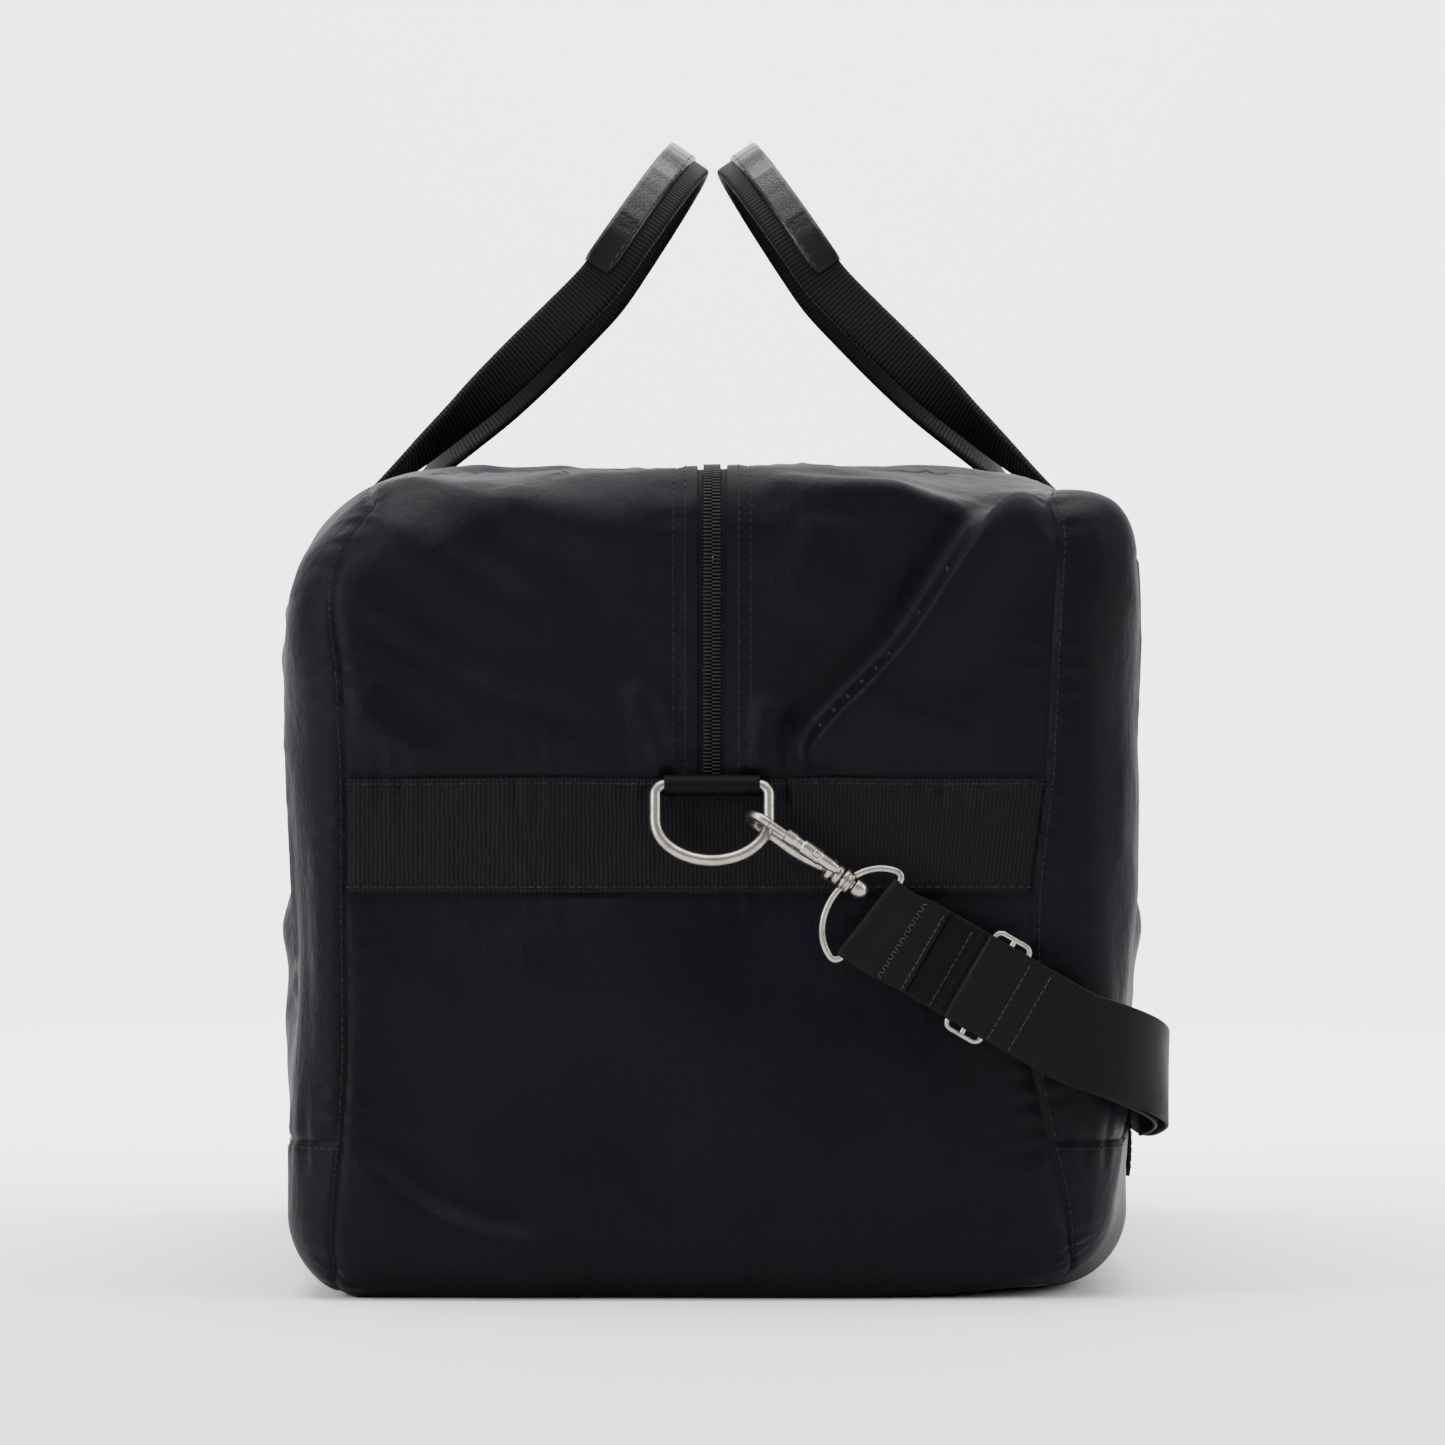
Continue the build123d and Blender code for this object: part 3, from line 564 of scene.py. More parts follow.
class Bench:
    """The modelling moves that the pieces share."""

    @staticmethod
    def clear() -> None:
        """Leave edit mode and deselect everything."""
        if bpy.context.object and bpy.context.object.mode != "OBJECT":
            bpy.ops.object.mode_set(mode="OBJECT")
        bpy.ops.object.select_all(action="DESELECT")

    @classmethod
    def pick(cls, piece: Piece) -> None:
        """Make piece the only selected and the active object.

        Args:
            piece: The object.
        """
        cls.clear()
        piece.select_set(True)
        bpy.context.view_layer.objects.active = piece

    @staticmethod
    def named(name: str) -> Piece:
        """Name the active object and its mesh.

        Args:
            name: Its new name.

        Returns:
            The object.
        """
        piece = bpy.context.object
        piece.name = name
        piece.data.name = name
        return piece

    @staticmethod
    def points(piece: Piece) -> Points:
        """A mesh's points, one row each.

        Args:
            piece: The mesh object.

        Returns:
            The points.
        """
        flat = np.empty(len(piece.data.vertices) * 3)
        piece.data.vertices.foreach_get("co", flat)
        return flat.reshape(-1, 3)

    @staticmethod
    def move(piece: Piece, points: Points) -> None:
        """Put a mesh's points at new places."""
        piece.data.vertices.foreach_set("co", np.asarray(points, float).ravel())
        piece.data.update()

    @staticmethod
    def meshed(name: str, points: Points, faces: list[tuple]) -> Piece:
        """A piece from its points and faces.

        Args:
            name: The piece's name.
            points: Its points, one row each.
            faces: The rows that each face joins.

        Returns:
            The piece.
        """
        mesh = bpy.data.meshes.new(name)
        mesh.from_pydata(points.tolist(), [], faces)
        piece = bpy.data.objects.new(name, mesh)
        bpy.context.scene.collection.objects.link(piece)
        return piece

    @classmethod
    def modify(cls, piece: Piece, kind: str, **settings: object) -> None:
        """Add a modifier with those settings and apply it.

        Args:
            piece: The piece.
            kind: Modifier type.
            settings: Its properties.
        """
        cls.pick(piece)
        made = piece.modifiers.new(kind.title(), kind)
        for key, value in settings.items():
            setattr(made, key, value)
        bpy.ops.object.modifier_apply(modifier=made.name)

    @classmethod
    def smooth(cls, piece: Piece, angle: float = 40.0) -> None:
        """Shade smooth apart from edges sharper than angle, in degrees."""
        cls.pick(piece)
        bpy.ops.object.shade_smooth_by_angle(angle=math.radians(angle))

    @classmethod
    def merge(cls, piece: Piece, gap: float = 1e-8, capped: bool = False) -> None:
        """Merge doubled points, cap open ends if wanted, then turn every face outwards.

        Args:
            piece: The piece.
            gap: Points closer than this are one.
            capped: Whether open ends are filled.
        """
        cls.pick(piece)
        bpy.ops.object.mode_set(mode="EDIT")
        bpy.ops.mesh.select_all(action="SELECT")
        bpy.ops.mesh.remove_doubles(threshold=gap)
        if capped:
            bpy.ops.mesh.select_all(action="SELECT")
            bpy.ops.mesh.fill_holes(sides=0)
        bpy.ops.mesh.normals_make_consistent(inside=False)
        bpy.ops.object.mode_set(mode="OBJECT")

    @classmethod
    def sheet(
        cls, name: str, cells: tuple[int, int], shape: Shape, size: "tuple[float, float] | Shape",
        wall: float = 0.0, offset: float = -1.0,
    ) -> Piece:
        """A grid moved on to a surface, with UVs in metres, and given a wall.

        Args:
            name: The piece's name.
            cells: Faces along u and along v.
            shape: Gives the surface's points from u and v, both from 0 to 1.
            size: Length of the surface along u and v, or a function of both, for its UVs.
            wall: Thickness, or 0 for none.
            offset: -1 grows the wall inwards, 0 both ways.

        Returns:
            The piece.
        """
        cls.clear()
        bpy.ops.mesh.primitive_grid_add(x_subdivisions=cells[0], y_subdivisions=cells[1], size=1.0)
        piece = cls.named(name)
        flat = cls.points(piece)
        cls.move(piece, shape(flat[:, 0] + 0.5, flat[:, 1] + 0.5))
        layer = piece.data.uv_layers.active.data
        uv = np.empty(len(layer) * 2)
        layer.foreach_get("uv", uv)
        uv = uv.reshape(-1, 2)
        metres = size(*uv.T) if callable(size) else uv * np.array(size)
        layer.foreach_set("uv", metres.ravel())
        if wall:
            cls.modify(piece, "SOLIDIFY", thickness=wall, offset=offset)
        cls.smooth(piece)
        return piece

    @classmethod
    def tube(
        cls, name: str, line: Points, radius: "float | Points", sides: int = 16, closed: bool = False,
        way: "Points | None" = None,
    ) -> Piece:
        """A round bar along a line, capped at both ends or closed on itself.

        Args:
            name: The piece's name.
            line: Centre line, one row a point; a closed line repeats its first point.
            radius: One radius, or one for each point.
            sides: Faces round the bar.
            closed: Whether the line runs back into its start.
            way: The bar's direction, where its centre line may stand still or turn back.

        Returns:
            The piece.
        """
        line = np.asarray(line, float)
        if way is not None:
            tangent = np.broadcast_to(unit(way), line.shape)
        elif closed:
            ahead = np.concatenate([line[1:], line[1:2]])
            behind = np.concatenate([line[-2:-1], line[:-1]])
            tangent = unit(ahead - behind)
        else:
            tangent = unit(np.gradient(line, axis=0))
        first = unit(np.cross(tangent[0], [0.31, 0.57, 0.76]))
        across = [first]
        for way in tangent[1:]:
            across.append(unit(across[-1] - way * (across[-1] @ way)))
        across = np.array(across)
        up = np.cross(tangent, across)
        if closed:
            slip = math.atan2(across[-1] @ up[0], across[-1] @ across[0])
            turn = -slip * np.linspace(0, 1, len(line))[:, None]
            across, up = (
                across * np.cos(turn) + up * np.sin(turn),
                up * np.cos(turn) - across * np.sin(turn),
            )
        radii = np.broadcast_to(radius, len(line))

        def shape(u: np.ndarray, v: np.ndarray) -> Points:
            """The bar's surface."""
            at = rows(u, len(line) - 1)
            angle = (v * 2 * math.pi)[:, None]
            return line[at] + radii[at][:, None] * (across[at] * np.cos(angle) + up[at] * np.sin(angle))

        girth = 2 * math.pi * float(np.mean(radii))
        piece = cls.sheet(name, (len(line) - 1, sides), shape, (float(distances(line)[-1]), girth))
        cls.merge(piece, 1e-6, capped=True)
        cls.smooth(piece)
        return piece

    @classmethod
    def strip(
        cls, name: str, line: Points, across: Points, half: "float | Points", wall: "float | Points",
        cells: int = 14, crown: float = 0.0,
    ) -> Piece:
        """Webbing along a line: a flat bar with rounded edges, with UVs in metres.

        Args:
            name: The piece's name.
            line: Centre line, one row a step.
            across: Width direction at each step.
            half: Half the width, one number or one a step.
            wall: Half the thickness, likewise.
            cells: Faces across each flat side.
            crown: Radius of the edges, where it is not the whole half thickness.

        Returns:
            The piece.
        """
        line, across = np.asarray(line, float), np.asarray(across, float)
        tangent = unit(np.gradient(line, axis=0))
        normal = unit(np.cross(tangent, across))
        across = np.cross(normal, tangent)
        half = np.broadcast_to(half, len(line))[:, None]
        wall = np.broadcast_to(wall, len(line))[:, None]
        edge = np.full_like(wall, crown) if crown else wall
        flat = np.linspace(-1, 1, cells + 1)
        arc = np.radians(np.linspace(90, -90, 7)[1:-1])
        g = np.concatenate([flat, np.ones(5), flat[::-1], -np.ones(5), flat[:1]])
        c = np.concatenate([0 * flat, np.cos(arc), 0 * flat, -np.cos(arc), [0]])
        s = np.concatenate([0 * flat + 1, np.sin(arc), 0 * flat - 1, -np.sin(arc), [1]])
        wide = (half - edge) * g + edge * c
        deep = (wall - edge) * np.sign(s + 1e-9) + edge * s
        points = line[:, None] + across[:, None] * wide[..., None] + normal[:, None] * deep[..., None]
        run = distances(line)
        last = (len(line) - 1, len(g) - 1)

        def shape(u: np.ndarray, v: np.ndarray) -> Points:
            """The bar's surface."""
            return points[rows(u, last[0]), rows(v, last[1])]

        def metres(u: np.ndarray, v: np.ndarray) -> Points:
            """Distance along and across."""
            at = rows(u, last[0])
            return columns(run[at], wide[at, rows(v, last[1])])

        piece = cls.sheet(name, last, shape, metres)
        cls.merge(piece, 1e-6, capped=True)
        cls.smooth(piece, 50.0)
        return piece

    @classmethod
    def stitches(
        cls, name: str, spots: Points, ways: Points, normals: Points, length: float, radius: float = 0.00028
    ) -> Piece:
        """Short lengths of thread lying on a surface.

        Args:
            name: The piece's name.
            spots: Middle of each stitch.
            ways: The way each one runs.
            normals: The surface's outward way at each.
            length: Length of a stitch.
            radius: Radius of the thread.

        Returns:
            The piece.
        """
        cls.clear()
        turn = (0, math.pi / 2, 0)
        bpy.ops.mesh.primitive_cylinder_add(vertices=6, radius=radius, depth=length, rotation=turn)
        bpy.ops.object.transform_apply(location=False, rotation=True, scale=False)
        thread = cls.named("thread")
        ends = cls.points(thread)
        ends[:, 2] -= radius * 0.5 * (2 * ends[:, 0] / length) ** 2
        cls.move(thread, ends)
        ways = unit(np.asarray(ways))
        across = unit(np.cross(normals, ways))
        axes = np.stack([ways, across, np.cross(ways, across)], axis=1)
        return cls.copies(name, thread, np.asarray(spots), axes)

    @classmethod
    def copies(cls, name: str, template: Piece, spots: Points, axes: Points) -> Piece:
        """Many copies of a small template as one mesh, and the template removed.

        Args:
            name: The piece's name.
            template: What is copied, about the origin.
            spots: Place of each copy.
            axes: For each copy, three rows that its X, Y and Z turn to.

        Returns:
            The piece.
        """
        local = cls.points(template)
        faces = [tuple(p.vertices) for p in template.data.polygons]
        count = len(local)
        points = (np.einsum("pk,nkc->npc", local, axes) + spots[:, None, :]).reshape(-1, 3)
        every = [tuple(v + i * count for v in f) for i in range(len(spots)) for f in faces]
        piece = cls.meshed(name, points, every)
        bpy.data.objects.remove(template)
        cls.smooth(piece, 60.0)
        return piece

    @classmethod
    def join(cls, name: str, pieces: list[Piece]) -> Piece:
        """Join pieces into one mesh.

        Args:
            name: The joined piece's name.
            pieces: What is joined.

        Returns:
            The piece.
        """
        cls.pick(pieces[0])
        for piece in pieces:
            piece.select_set(True)
        bpy.ops.object.join()
        return cls.named(name)

    @staticmethod
    def settle(
        piece: Piece, finish: Finish, body: str | None, nodes: tuple = (), slot: str | None = None
    ) -> None:
        """Give a finished piece its material and its body, and hide the CAD nodes that it stands for.

        Args:
            piece: The piece, its place in its mesh.
            finish: Its finish.
            body: The CAD body that it rides on, or None to leave it unattached.
            nodes: CAD nodes that it stands for.
            slot: A material slot's name; not used.
        """
        piece.data.materials.clear()
        piece.data.materials.append(finish.built)
        if body:
            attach(piece, body)
        if nodes:
            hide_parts(*nodes)
        LOG.info("%s: %d faces, %s", piece.name, len(piece.data.polygons), finish.name.lower())


# ---- The bag's surface ----------------------------------------------------------------


@dataclass(frozen=True)
class Fold:
    """A ridge in the cloth along a line laid out on the bag's box.

    The cloth rises to the crest over the upper width, on the left of the line seen from
    outside, and drops over the lower width. A lap carries the crest over the lower side.
    """

    line: tuple
    height: float
    upper: float = 0.012
    lower: float = 0.005
    trough: float = 0.3
    lap: float = 0.0
    taper: float = 0.25


@dataclass(frozen=True)
class Seam:
    """A sewn line on the bag's box: the valley it pulls and the puckers beside it."""

    line: tuple
    depth: float = 0.0015
    pucker: float = 0.0008
    reach: float = 0.009
    wave: float = 0.010


# Each fold is its line, then its height, upper and lower width, trough, lap and taper.
# A line's points are X and Z on an end.
END_FOLDS = (
    (
        ((0.140, 0.333), (0.124, 0.322), (0.112, 0.306), (0.098, 0.284),
         (0.084, 0.262), (0.070, 0.247), (0.052, 0.231), (0.033, 0.209)),
        0.0090, 0.018, 0.0055, 0.45, 0.004, 0.14,
    ),
    (
        ((-0.030, 0.213), (-0.066, 0.229), (-0.112, 0.249), (-0.139, 0.270), (-0.156, 0.300)),
        0.0055, 0.030, 0.014, 0.35, 0.001,
    ),
    (
        ((-0.046, 0.016), (-0.080, 0.022), (-0.105, 0.032), (-0.121, 0.045), (-0.143, 0.066)),
        0.0042, 0.016, 0.007, 0.5, 0.001,
    ),
    (((-0.060, 0.262), (-0.095, 0.292), (-0.135, 0.318)), 0.0050, 0.018, 0.012),
    (((-0.018, 0.205), (-0.021, 0.225), (-0.034, 0.252)), 0.0036, 0.008, 0.006),
    (((0.026, 0.246), (0.020, 0.226), (0.019, 0.205)), 0.0036, 0.006, 0.008),
    (((0.112, 0.318), (0.075, 0.329), (0.022, 0.324)), 0.0040, 0.007, 0.007),
    (((0.128, 0.060), (0.133, 0.040), (0.128, 0.022)), 0.0030, 0.009, 0.008),
    (((0.120, 0.226), (0.090, 0.232), (0.070, 0.228)), 0.0036, 0.010, 0.010),
    (((-0.100, 0.215), (-0.125, 0.226), (-0.140, 0.244)), 0.0036, 0.009, 0.008),
    (((-0.090, 0.333), (-0.055, 0.310), (-0.030, 0.296)), 0.0040, 0.014, 0.010),
    (((0.048, 0.322), (0.040, 0.300), (0.030, 0.270)), 0.0030, 0.012, 0.010),
    (((-0.020, 0.150), (-0.075, 0.136), (-0.128, 0.110)), 0.0030, 0.020, 0.016),
    (((0.125, 0.060), (0.020, 0.100), (-0.110, 0.152)), 0.0048, 0.045, 0.035),
)
# Points are Y from a handle's leg, further Y that turns with the side, and Z.
LEG_FOLDS = (
    (((-0.030, 0, 0.205), (-0.062, 0, 0.165), (-0.115, 0, 0.135)), 0.003, 0.012, 0.012),
    (((0.030, 0, 0.235), (0.066, 0, 0.185), (0.110, 0, 0.160)), 0.003, 0.012, 0.012),
    (((0, 0, 0.036), (0, 0.05, 0.085), (0, 0.12, 0.11)), 0.0024, 0.012, 0.010),
)
# Points are Y and Z on a side.
CORNER_FOLDS = (
    (((0.262, 0.245), (0.215, 0.272), (0.15, 0.282)), 0.0036, 0.016, 0.010),
    (((0.275, 0.082), (0.225, 0.115), (0.18, 0.165)), 0.0030, 0.014, 0.010),
)
# Points are X and Y on the top.
TOP_FOLDS = (
    (((0.125, 0.222), (0.07, 0.15), (0.022, 0.11)), 0.0026, 0.013, 0.009),
    (((0.105, 0.05), (0.06, 0.075), (0.02, 0.06)), 0.0020, 0.010, 0.009),
)
# Swells and hollows at the near end's corners: the middle, the size and the rise.
SWELLS = (
    ((0.158, -0.284, 0.316), 0.024, 0.0095),
    ((0.116, -0.290, 0.336), (0.036, 0.05, 0.02), -0.0100),
    ((-0.160, -0.285, 0.318), 0.024, -0.0050),
    ((0.163, -0.287, 0.014), 0.042, -0.0130),
    ((-0.100, -0.300, 0.285), 0.040, 0.0028),
)


@dataclass
class BagForm:
    """The filled bag: from points on its plain box to the sagging, puckered cloth."""

    top_radius: float = 0.060
    bottom_radius: float = 0.034
    end_radius: float = 0.030
    seam_inset: float = 0.032
    side_room: float = 0.0026
    end_room: float = 0.0060
    hem_half: float = 0.0135
    hem_rise: float = 0.0007
    high: Vector = field(default_factory=lambda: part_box("bottom_panel")[1])

    def __post_init__(self) -> None:
        """Read the bag's sizes from the frame and lay out its seams and folds."""
        self.width = self.high.x
        self.length = self.high.y
        self.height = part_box("side_panel_left")[1].z
        self.wrap = self.high.z
        self.seam = self.width - self.seam_inset
        self.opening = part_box("end_upper_far_left")[0].y
        self.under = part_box("end_panel_far")[0].y
        self.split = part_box("end_panel_far")[1].z
        self.zip_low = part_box("zip_tape_far_left")[0].z
        self.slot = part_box("top_panel_right")[0].x
        self.band_low, self.band_high = (c.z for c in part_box("end_band_far"))
        self.seams = self.lay_seams()
        self.folds = self.lay_folds()
        self.tree, self.seam_run, self.seam_facts = self.index_seams()
        self.ripples = [self.ripple(11, 0.19), self.ripple(12, 0.085), self.ripple(13, 0.045)]
        self.phases = np.random.default_rng(5).uniform(0, 2 * math.pi, (len(self.seams), 3))

    @staticmethod
    def ripple(seed: int, wave: float) -> tuple[Points, Points]:
        """Directions and phases of a soft random field of one wavelength.

        Args:
            seed: Seed of its draws.
            wave: Wavelength.

        Returns:
            The directions and the phases.
        """
        rng = np.random.default_rng(seed)
        ways = unit(rng.normal(size=(9, 3)))
        return ways * (2 * math.pi / wave) * rng.uniform(0.75, 1.25, (9, 1)), rng.uniform(0, 6.28, 9)

    @staticmethod
    def sway(points: Points, ripple: tuple[Points, Points]) -> Points:
        """The field's value at each point, mostly between -1 and 1."""
        ways, phases = ripple
        return np.sin(points @ ways.T + phases).sum(axis=1) / 3.0

    def lay_seams(self) -> list[Seam]:
        """Every sewn line, on the box.

        Returns:
            The seams.
        """
        w, l, h, s = self.width, self.length, self.height, self.seam
        seams = []
        for y in (-1, 1):
            for x in (-1, 1):
                upright = [(x * s, y * self.under, 0), (x * s, y * l, 0), (x * s, y * l, h)]
                upright += [(x * s, y * self.opening, h), (x * self.hem_half, y * self.opening, h)]
                seams.append(Seam(tuple(upright)))
                wrap = [(x * s, y * l, self.wrap), (x * w, y * l, self.wrap), (x * w, 0, self.wrap)]
                seams.append(Seam(tuple(wrap), wave=0.013))
                beside = [(x * self.hem_half, y * l, self.band_high), (x * self.hem_half, y * l, h)]
                beside.append((x * self.hem_half, 0, h))
                seams.append(Seam(tuple(beside), 0.0004, 0.0006, 0.007, 0.014))
            seams.append(Seam(((-s, y * self.under, 0), (s, y * self.under, 0))))
            above = ((-s, y * l, self.band_high + MM), (s, y * l, self.band_high + MM))
            seams.append(Seam(above, 0.0008, 0.0011, 0.013, 0.009))
            below = ((-s, y * l, self.band_low - MM), (s, y * l, self.band_low - MM))
            seams.append(Seam(below, 0.0007, 0.0006, 0.008, 0.011))
        return seams

    def lay_folds(self) -> list[Fold]:
        """The drawn folds, on the box: those of both ends, then those of the sides and the top.

        Returns:
            The folds.
        """
        l, w, h = self.length, self.width, self.height
        near = [Fold(tuple((x, -l, z) for x, z in line), *shape) for line, *shape in END_FOLDS]
        near.append(Fold(((0.090, -l, 0.333), (0.050, -l, 0.336), (0.016, -0.296, h)), 0.0030, 0.006, 0.006))
        folds = list(near)
        for fold in near:
            line = tuple((-x, -y, z) for x, y, z in fold.line)
            folds.append(replace(fold, line=line, height=fold.height * 0.85))
        for leg in (-0.11, 0.11):
            for x, lean in ((-w, 1), (w, -1)):
                for line, *shape in LEG_FOLDS:
                    folds.append(Fold(tuple((x, leg + out + lean * off, z) for out, off, z in line), *shape))
        for y in (-1, 1):
            for x in (-1, 1):
                for line, *shape in CORNER_FOLDS:
                    folds.append(Fold(tuple((x * w, y * out, z) for out, z in line), *shape))
                for line, *shape in TOP_FOLDS:
                    folds.append(Fold(tuple((x * off, y * out, h) for off, out in line), *shape))
        return folds

    def shift(self, box: Points) -> Points:
        """How far sewing and filling pull each upright seam along X.

        Args:
            box: Points on the plain box.

        Returns:
            The pull at each point.
        """
        heights = np.array([0.0, 0.064, 0.100, 0.165, 0.211, 0.253, 0.290, 0.317, 0.336])
        left = np.array([-16, -8, -6, -6, -6, -7, -13, -8, -4]) * MM
        right = np.array([10, -6, -14, -13, -7, -5, -3, -2, 0]) * MM
        x, y, z = box.T
        pull = np.zeros(len(box))
        for end in End:
            at_end = ease(end.value * y, self.opening, self.length)
            tables = (left, right) if end is End.NEAR else (-right, -left)
            for side, table in zip((-1, 1), tables):
                reach = side * x
                inner = ease(reach, 0.03, self.seam)
                outer = np.clip((self.width - reach) / self.seam_inset, 0, 1)
                pull += np.interp(z, heights, table) * np.where(reach < self.seam, inner, outer) * at_end
        return pull

    def rest(self, box: Points) -> tuple[Points, Points]:
        """The smooth, full form under points on the box, and its outward normals.

        Args:
            box: Points on the plain box.

        Returns:
            The points on the form, and the normals.
        """
        box = box.copy()
        box[:, 0] += self.shift(box)
        reach_x = self.width - self.end_radius
        top = box[:, 2] > self.height / 2
        corner = np.where(top, self.top_radius, self.bottom_radius) - self.end_radius
        core_x = reach_x - corner
        core_low = self.bottom_radius
        core_high = self.height - self.top_radius
        x = np.clip(box[:, 0], -core_x, core_x)
        z = np.clip(box[:, 2], core_low, core_high)
        away = np.stack([box[:, 0] - x, box[:, 2] - z], axis=1)
        size = np.maximum(np.linalg.norm(away, axis=1), 1e-12)
        step = np.minimum(size, corner) / size
        core = np.stack([x + away[:, 0] * step, box[:, 1], z + away[:, 1] * step], axis=1)
        core[:, 1] = np.clip(box[:, 1], -(self.length - self.end_radius), self.length - self.end_radius)
        normal = unit(box - core)
        return core + normal * self.end_radius, normal

    def index_seams(self) -> tuple[KDTree, Points, Points]:
        """A search tree over every seam, with each sample's run and seam number.

        Returns:
            The tree, and each sample's distance along its seam and seam number.
        """
        spots, runs, owners = [], [], []
        for number, seam in enumerate(self.seams):
            samples, _ = self.rest(resample(np.array(seam.line), 0.0015))
            spots.append(samples)
            runs.append(distances(samples))
            owners.append(np.full(len(samples), number))
        spots = np.concatenate(spots)
        tree = KDTree(len(spots))
        for index, spot in enumerate(spots):
            tree.insert(spot, index)
        tree.balance()
        return tree, np.concatenate(runs), np.concatenate(owners)

    def sewn(self, points: Points) -> Points:
        """Height of the cloth from its seams: their valleys and puckers.

        Args:
            points: Points on the smooth form.

        Returns:
            The height at each point.
        """
        found = [self.tree.find(p) for p in points]
        index = np.array([f[1] for f in found])
        gap = np.array([f[2] for f in found])
        run, owner = self.seam_run[index], self.seam_facts[index]
        facts = np.array([(s.depth, s.pucker, s.reach, s.wave) for s in self.seams])[owner]
        depth, pucker, reach, wave = facts.T
        phase = self.phases[owner]
        turn = 2 * math.pi * run / wave
        beat = np.sin(turn * 1.43 + phase[:, 1]) * np.sin(turn * 0.31 + phase[:, 2])
        swing = np.sin(turn + phase[:, 0]) + 0.7 * beat
        patch = 0.55 + 0.45 * np.sin(turn * 0.17 + phase[:, 1])
        near = (1 - np.exp(-gap / 0.002)) * np.exp(-((gap / reach) ** 1.4))
        return pucker * swing * patch * near - depth * np.exp(-((gap / 0.0020) ** 2))

    @staticmethod
    def onto(line: Points, points: Points) -> tuple[Points, Points, Points]:
        """Each point's nearest place on a line, the line's way there, and how far along it is.

        Args:
            line: The line's points.
            points: The points to place.

        Returns:
            The nearest places, the ways there, and the shares of the line's length.
        """
        start, step = line[:-1], np.diff(line, axis=0)
        along = ((points[:, None] - start) * step).sum(axis=2) / (step**2).sum(axis=1)
        along = np.clip(along, 0, 1)
        spots = start + along[..., None] * step
        best = np.linalg.norm(points[:, None] - spots, axis=2).argmin(axis=1)
        rows = np.arange(len(points))
        t = along[rows, best]
        ways = unit(np.gradient(line, axis=0))
        way = unit(ways[best] * (1 - t)[:, None] + ways[best + 1] * t[:, None])
        return spots[rows, best], way, (best + t) / len(step)

    def folded(self, points: Points, normals: Points) -> Points:
        """Moves from every drawn fold.

        Args:
            points: Points on the smooth form.
            normals: The form's normal at each.

        Returns:
            The move of each point.
        """
        moved = np.zeros_like(points)
        for fold in self.folds:
            line, _ = self.rest(resample(smooth_line(resample(np.array(fold.line), 0.006), 4), 0.004))
            margin = 3 * max(fold.upper, fold.lower) + 0.01
            inside = np.all((points > line.min(0) - margin) & (points < line.max(0) + margin), axis=1)
            if not inside.any():
                continue
            here, normal = points[inside], normals[inside]
            near, way, share = self.onto(line, here)
            away = here - near
            left = unit(np.cross(normal, way))
            signed = (away * left).sum(axis=1)
            past = np.abs((away * way).sum(axis=1))
            strength = ease(share, 0, fold.taper) * ease(1 - share, 0, fold.taper) * hump(past, 0.004)
            rise = np.where(signed >= 0, hump(signed, fold.upper), hump(signed, fold.lower))
            dip = -fold.trough * np.where(signed < 0, hump(signed + 2.2 * fold.lower, 1.6 * fold.lower), 0)
            dip -= fold.trough * np.where(signed < 0, 0, math.exp(-1.890625))
            dip *= np.where(signed < 0, 1.0, hump(signed, fold.upper * 0.5))
            moved[inside] += normal * (fold.height * strength * (rise + dip))[:, None]
            moved[inside] -= left * (fold.lap * strength * rise**2)[:, None]
        return moved

    def filled(self, points: Points) -> Points:
        """Height from how the bag is packed: slack top, full corners, soft hollows.

        Args:
            points: Points on the smooth form.

        Returns:
            The height at each point.
        """
        x, y, z = points.T
        w, l, h = self.width, self.length, self.height
        top = ease(z, h - 0.03, h - 0.004)
        side = ease(np.abs(x), w - 0.02, w - 0.003) * ease(z, 0.05, 0.12) * ease(h - z, 0.05, 0.12)
        end = ease(np.abs(y), l - 0.012, l - 0.002)
        low = ease(z, 0.0, 0.03)
        height = -0.0055 * top * hump(y, 0.15) * hump(x, 0.11)
        height += -0.0035 * side * (1 - hump(np.abs(y) - 0.17, 0.09))
        calm = 1 - 0.75 * end * hump(z - 0.186, 0.05)
        calm *= 1 - 0.95 * top * hump(x, 0.03) * hump(np.abs(y) - 0.25, 0.04)
        coarse, creased, fine = (self.sway(points, r) for r in self.ripples)
        ridged = 0.6 - np.abs(creased)
        high = ease(z, 0.20, 0.24)
        height += low * calm * (0.0022 * coarse * (1 - 0.3 * end) + (0.0008 + 0.0008 * high) * ridged)
        height += low * calm * 0.0004 * fine
        for sign in (-1, 1):
            spot = points * np.array([-sign, -sign, 1.0])
            for middle, size, rise in SWELLS:
                height += rise * hump(np.linalg.norm((spot - middle) / size, axis=1), 1.0)
        return height

    def hem(self, box: Points) -> Points:
        """The doubled cloth along both edges of the zip's slot.

        Args:
            box: Points on the plain box.

        Returns:
            The height at each point.
        """
        reach = np.abs(box[:, 0])
        upper = ease(box[:, 2], self.band_high - 0.004, self.band_high + 0.001)
        return self.hem_rise * (1 - ease(reach, self.hem_half - 0.0012, self.hem_half)) * upper

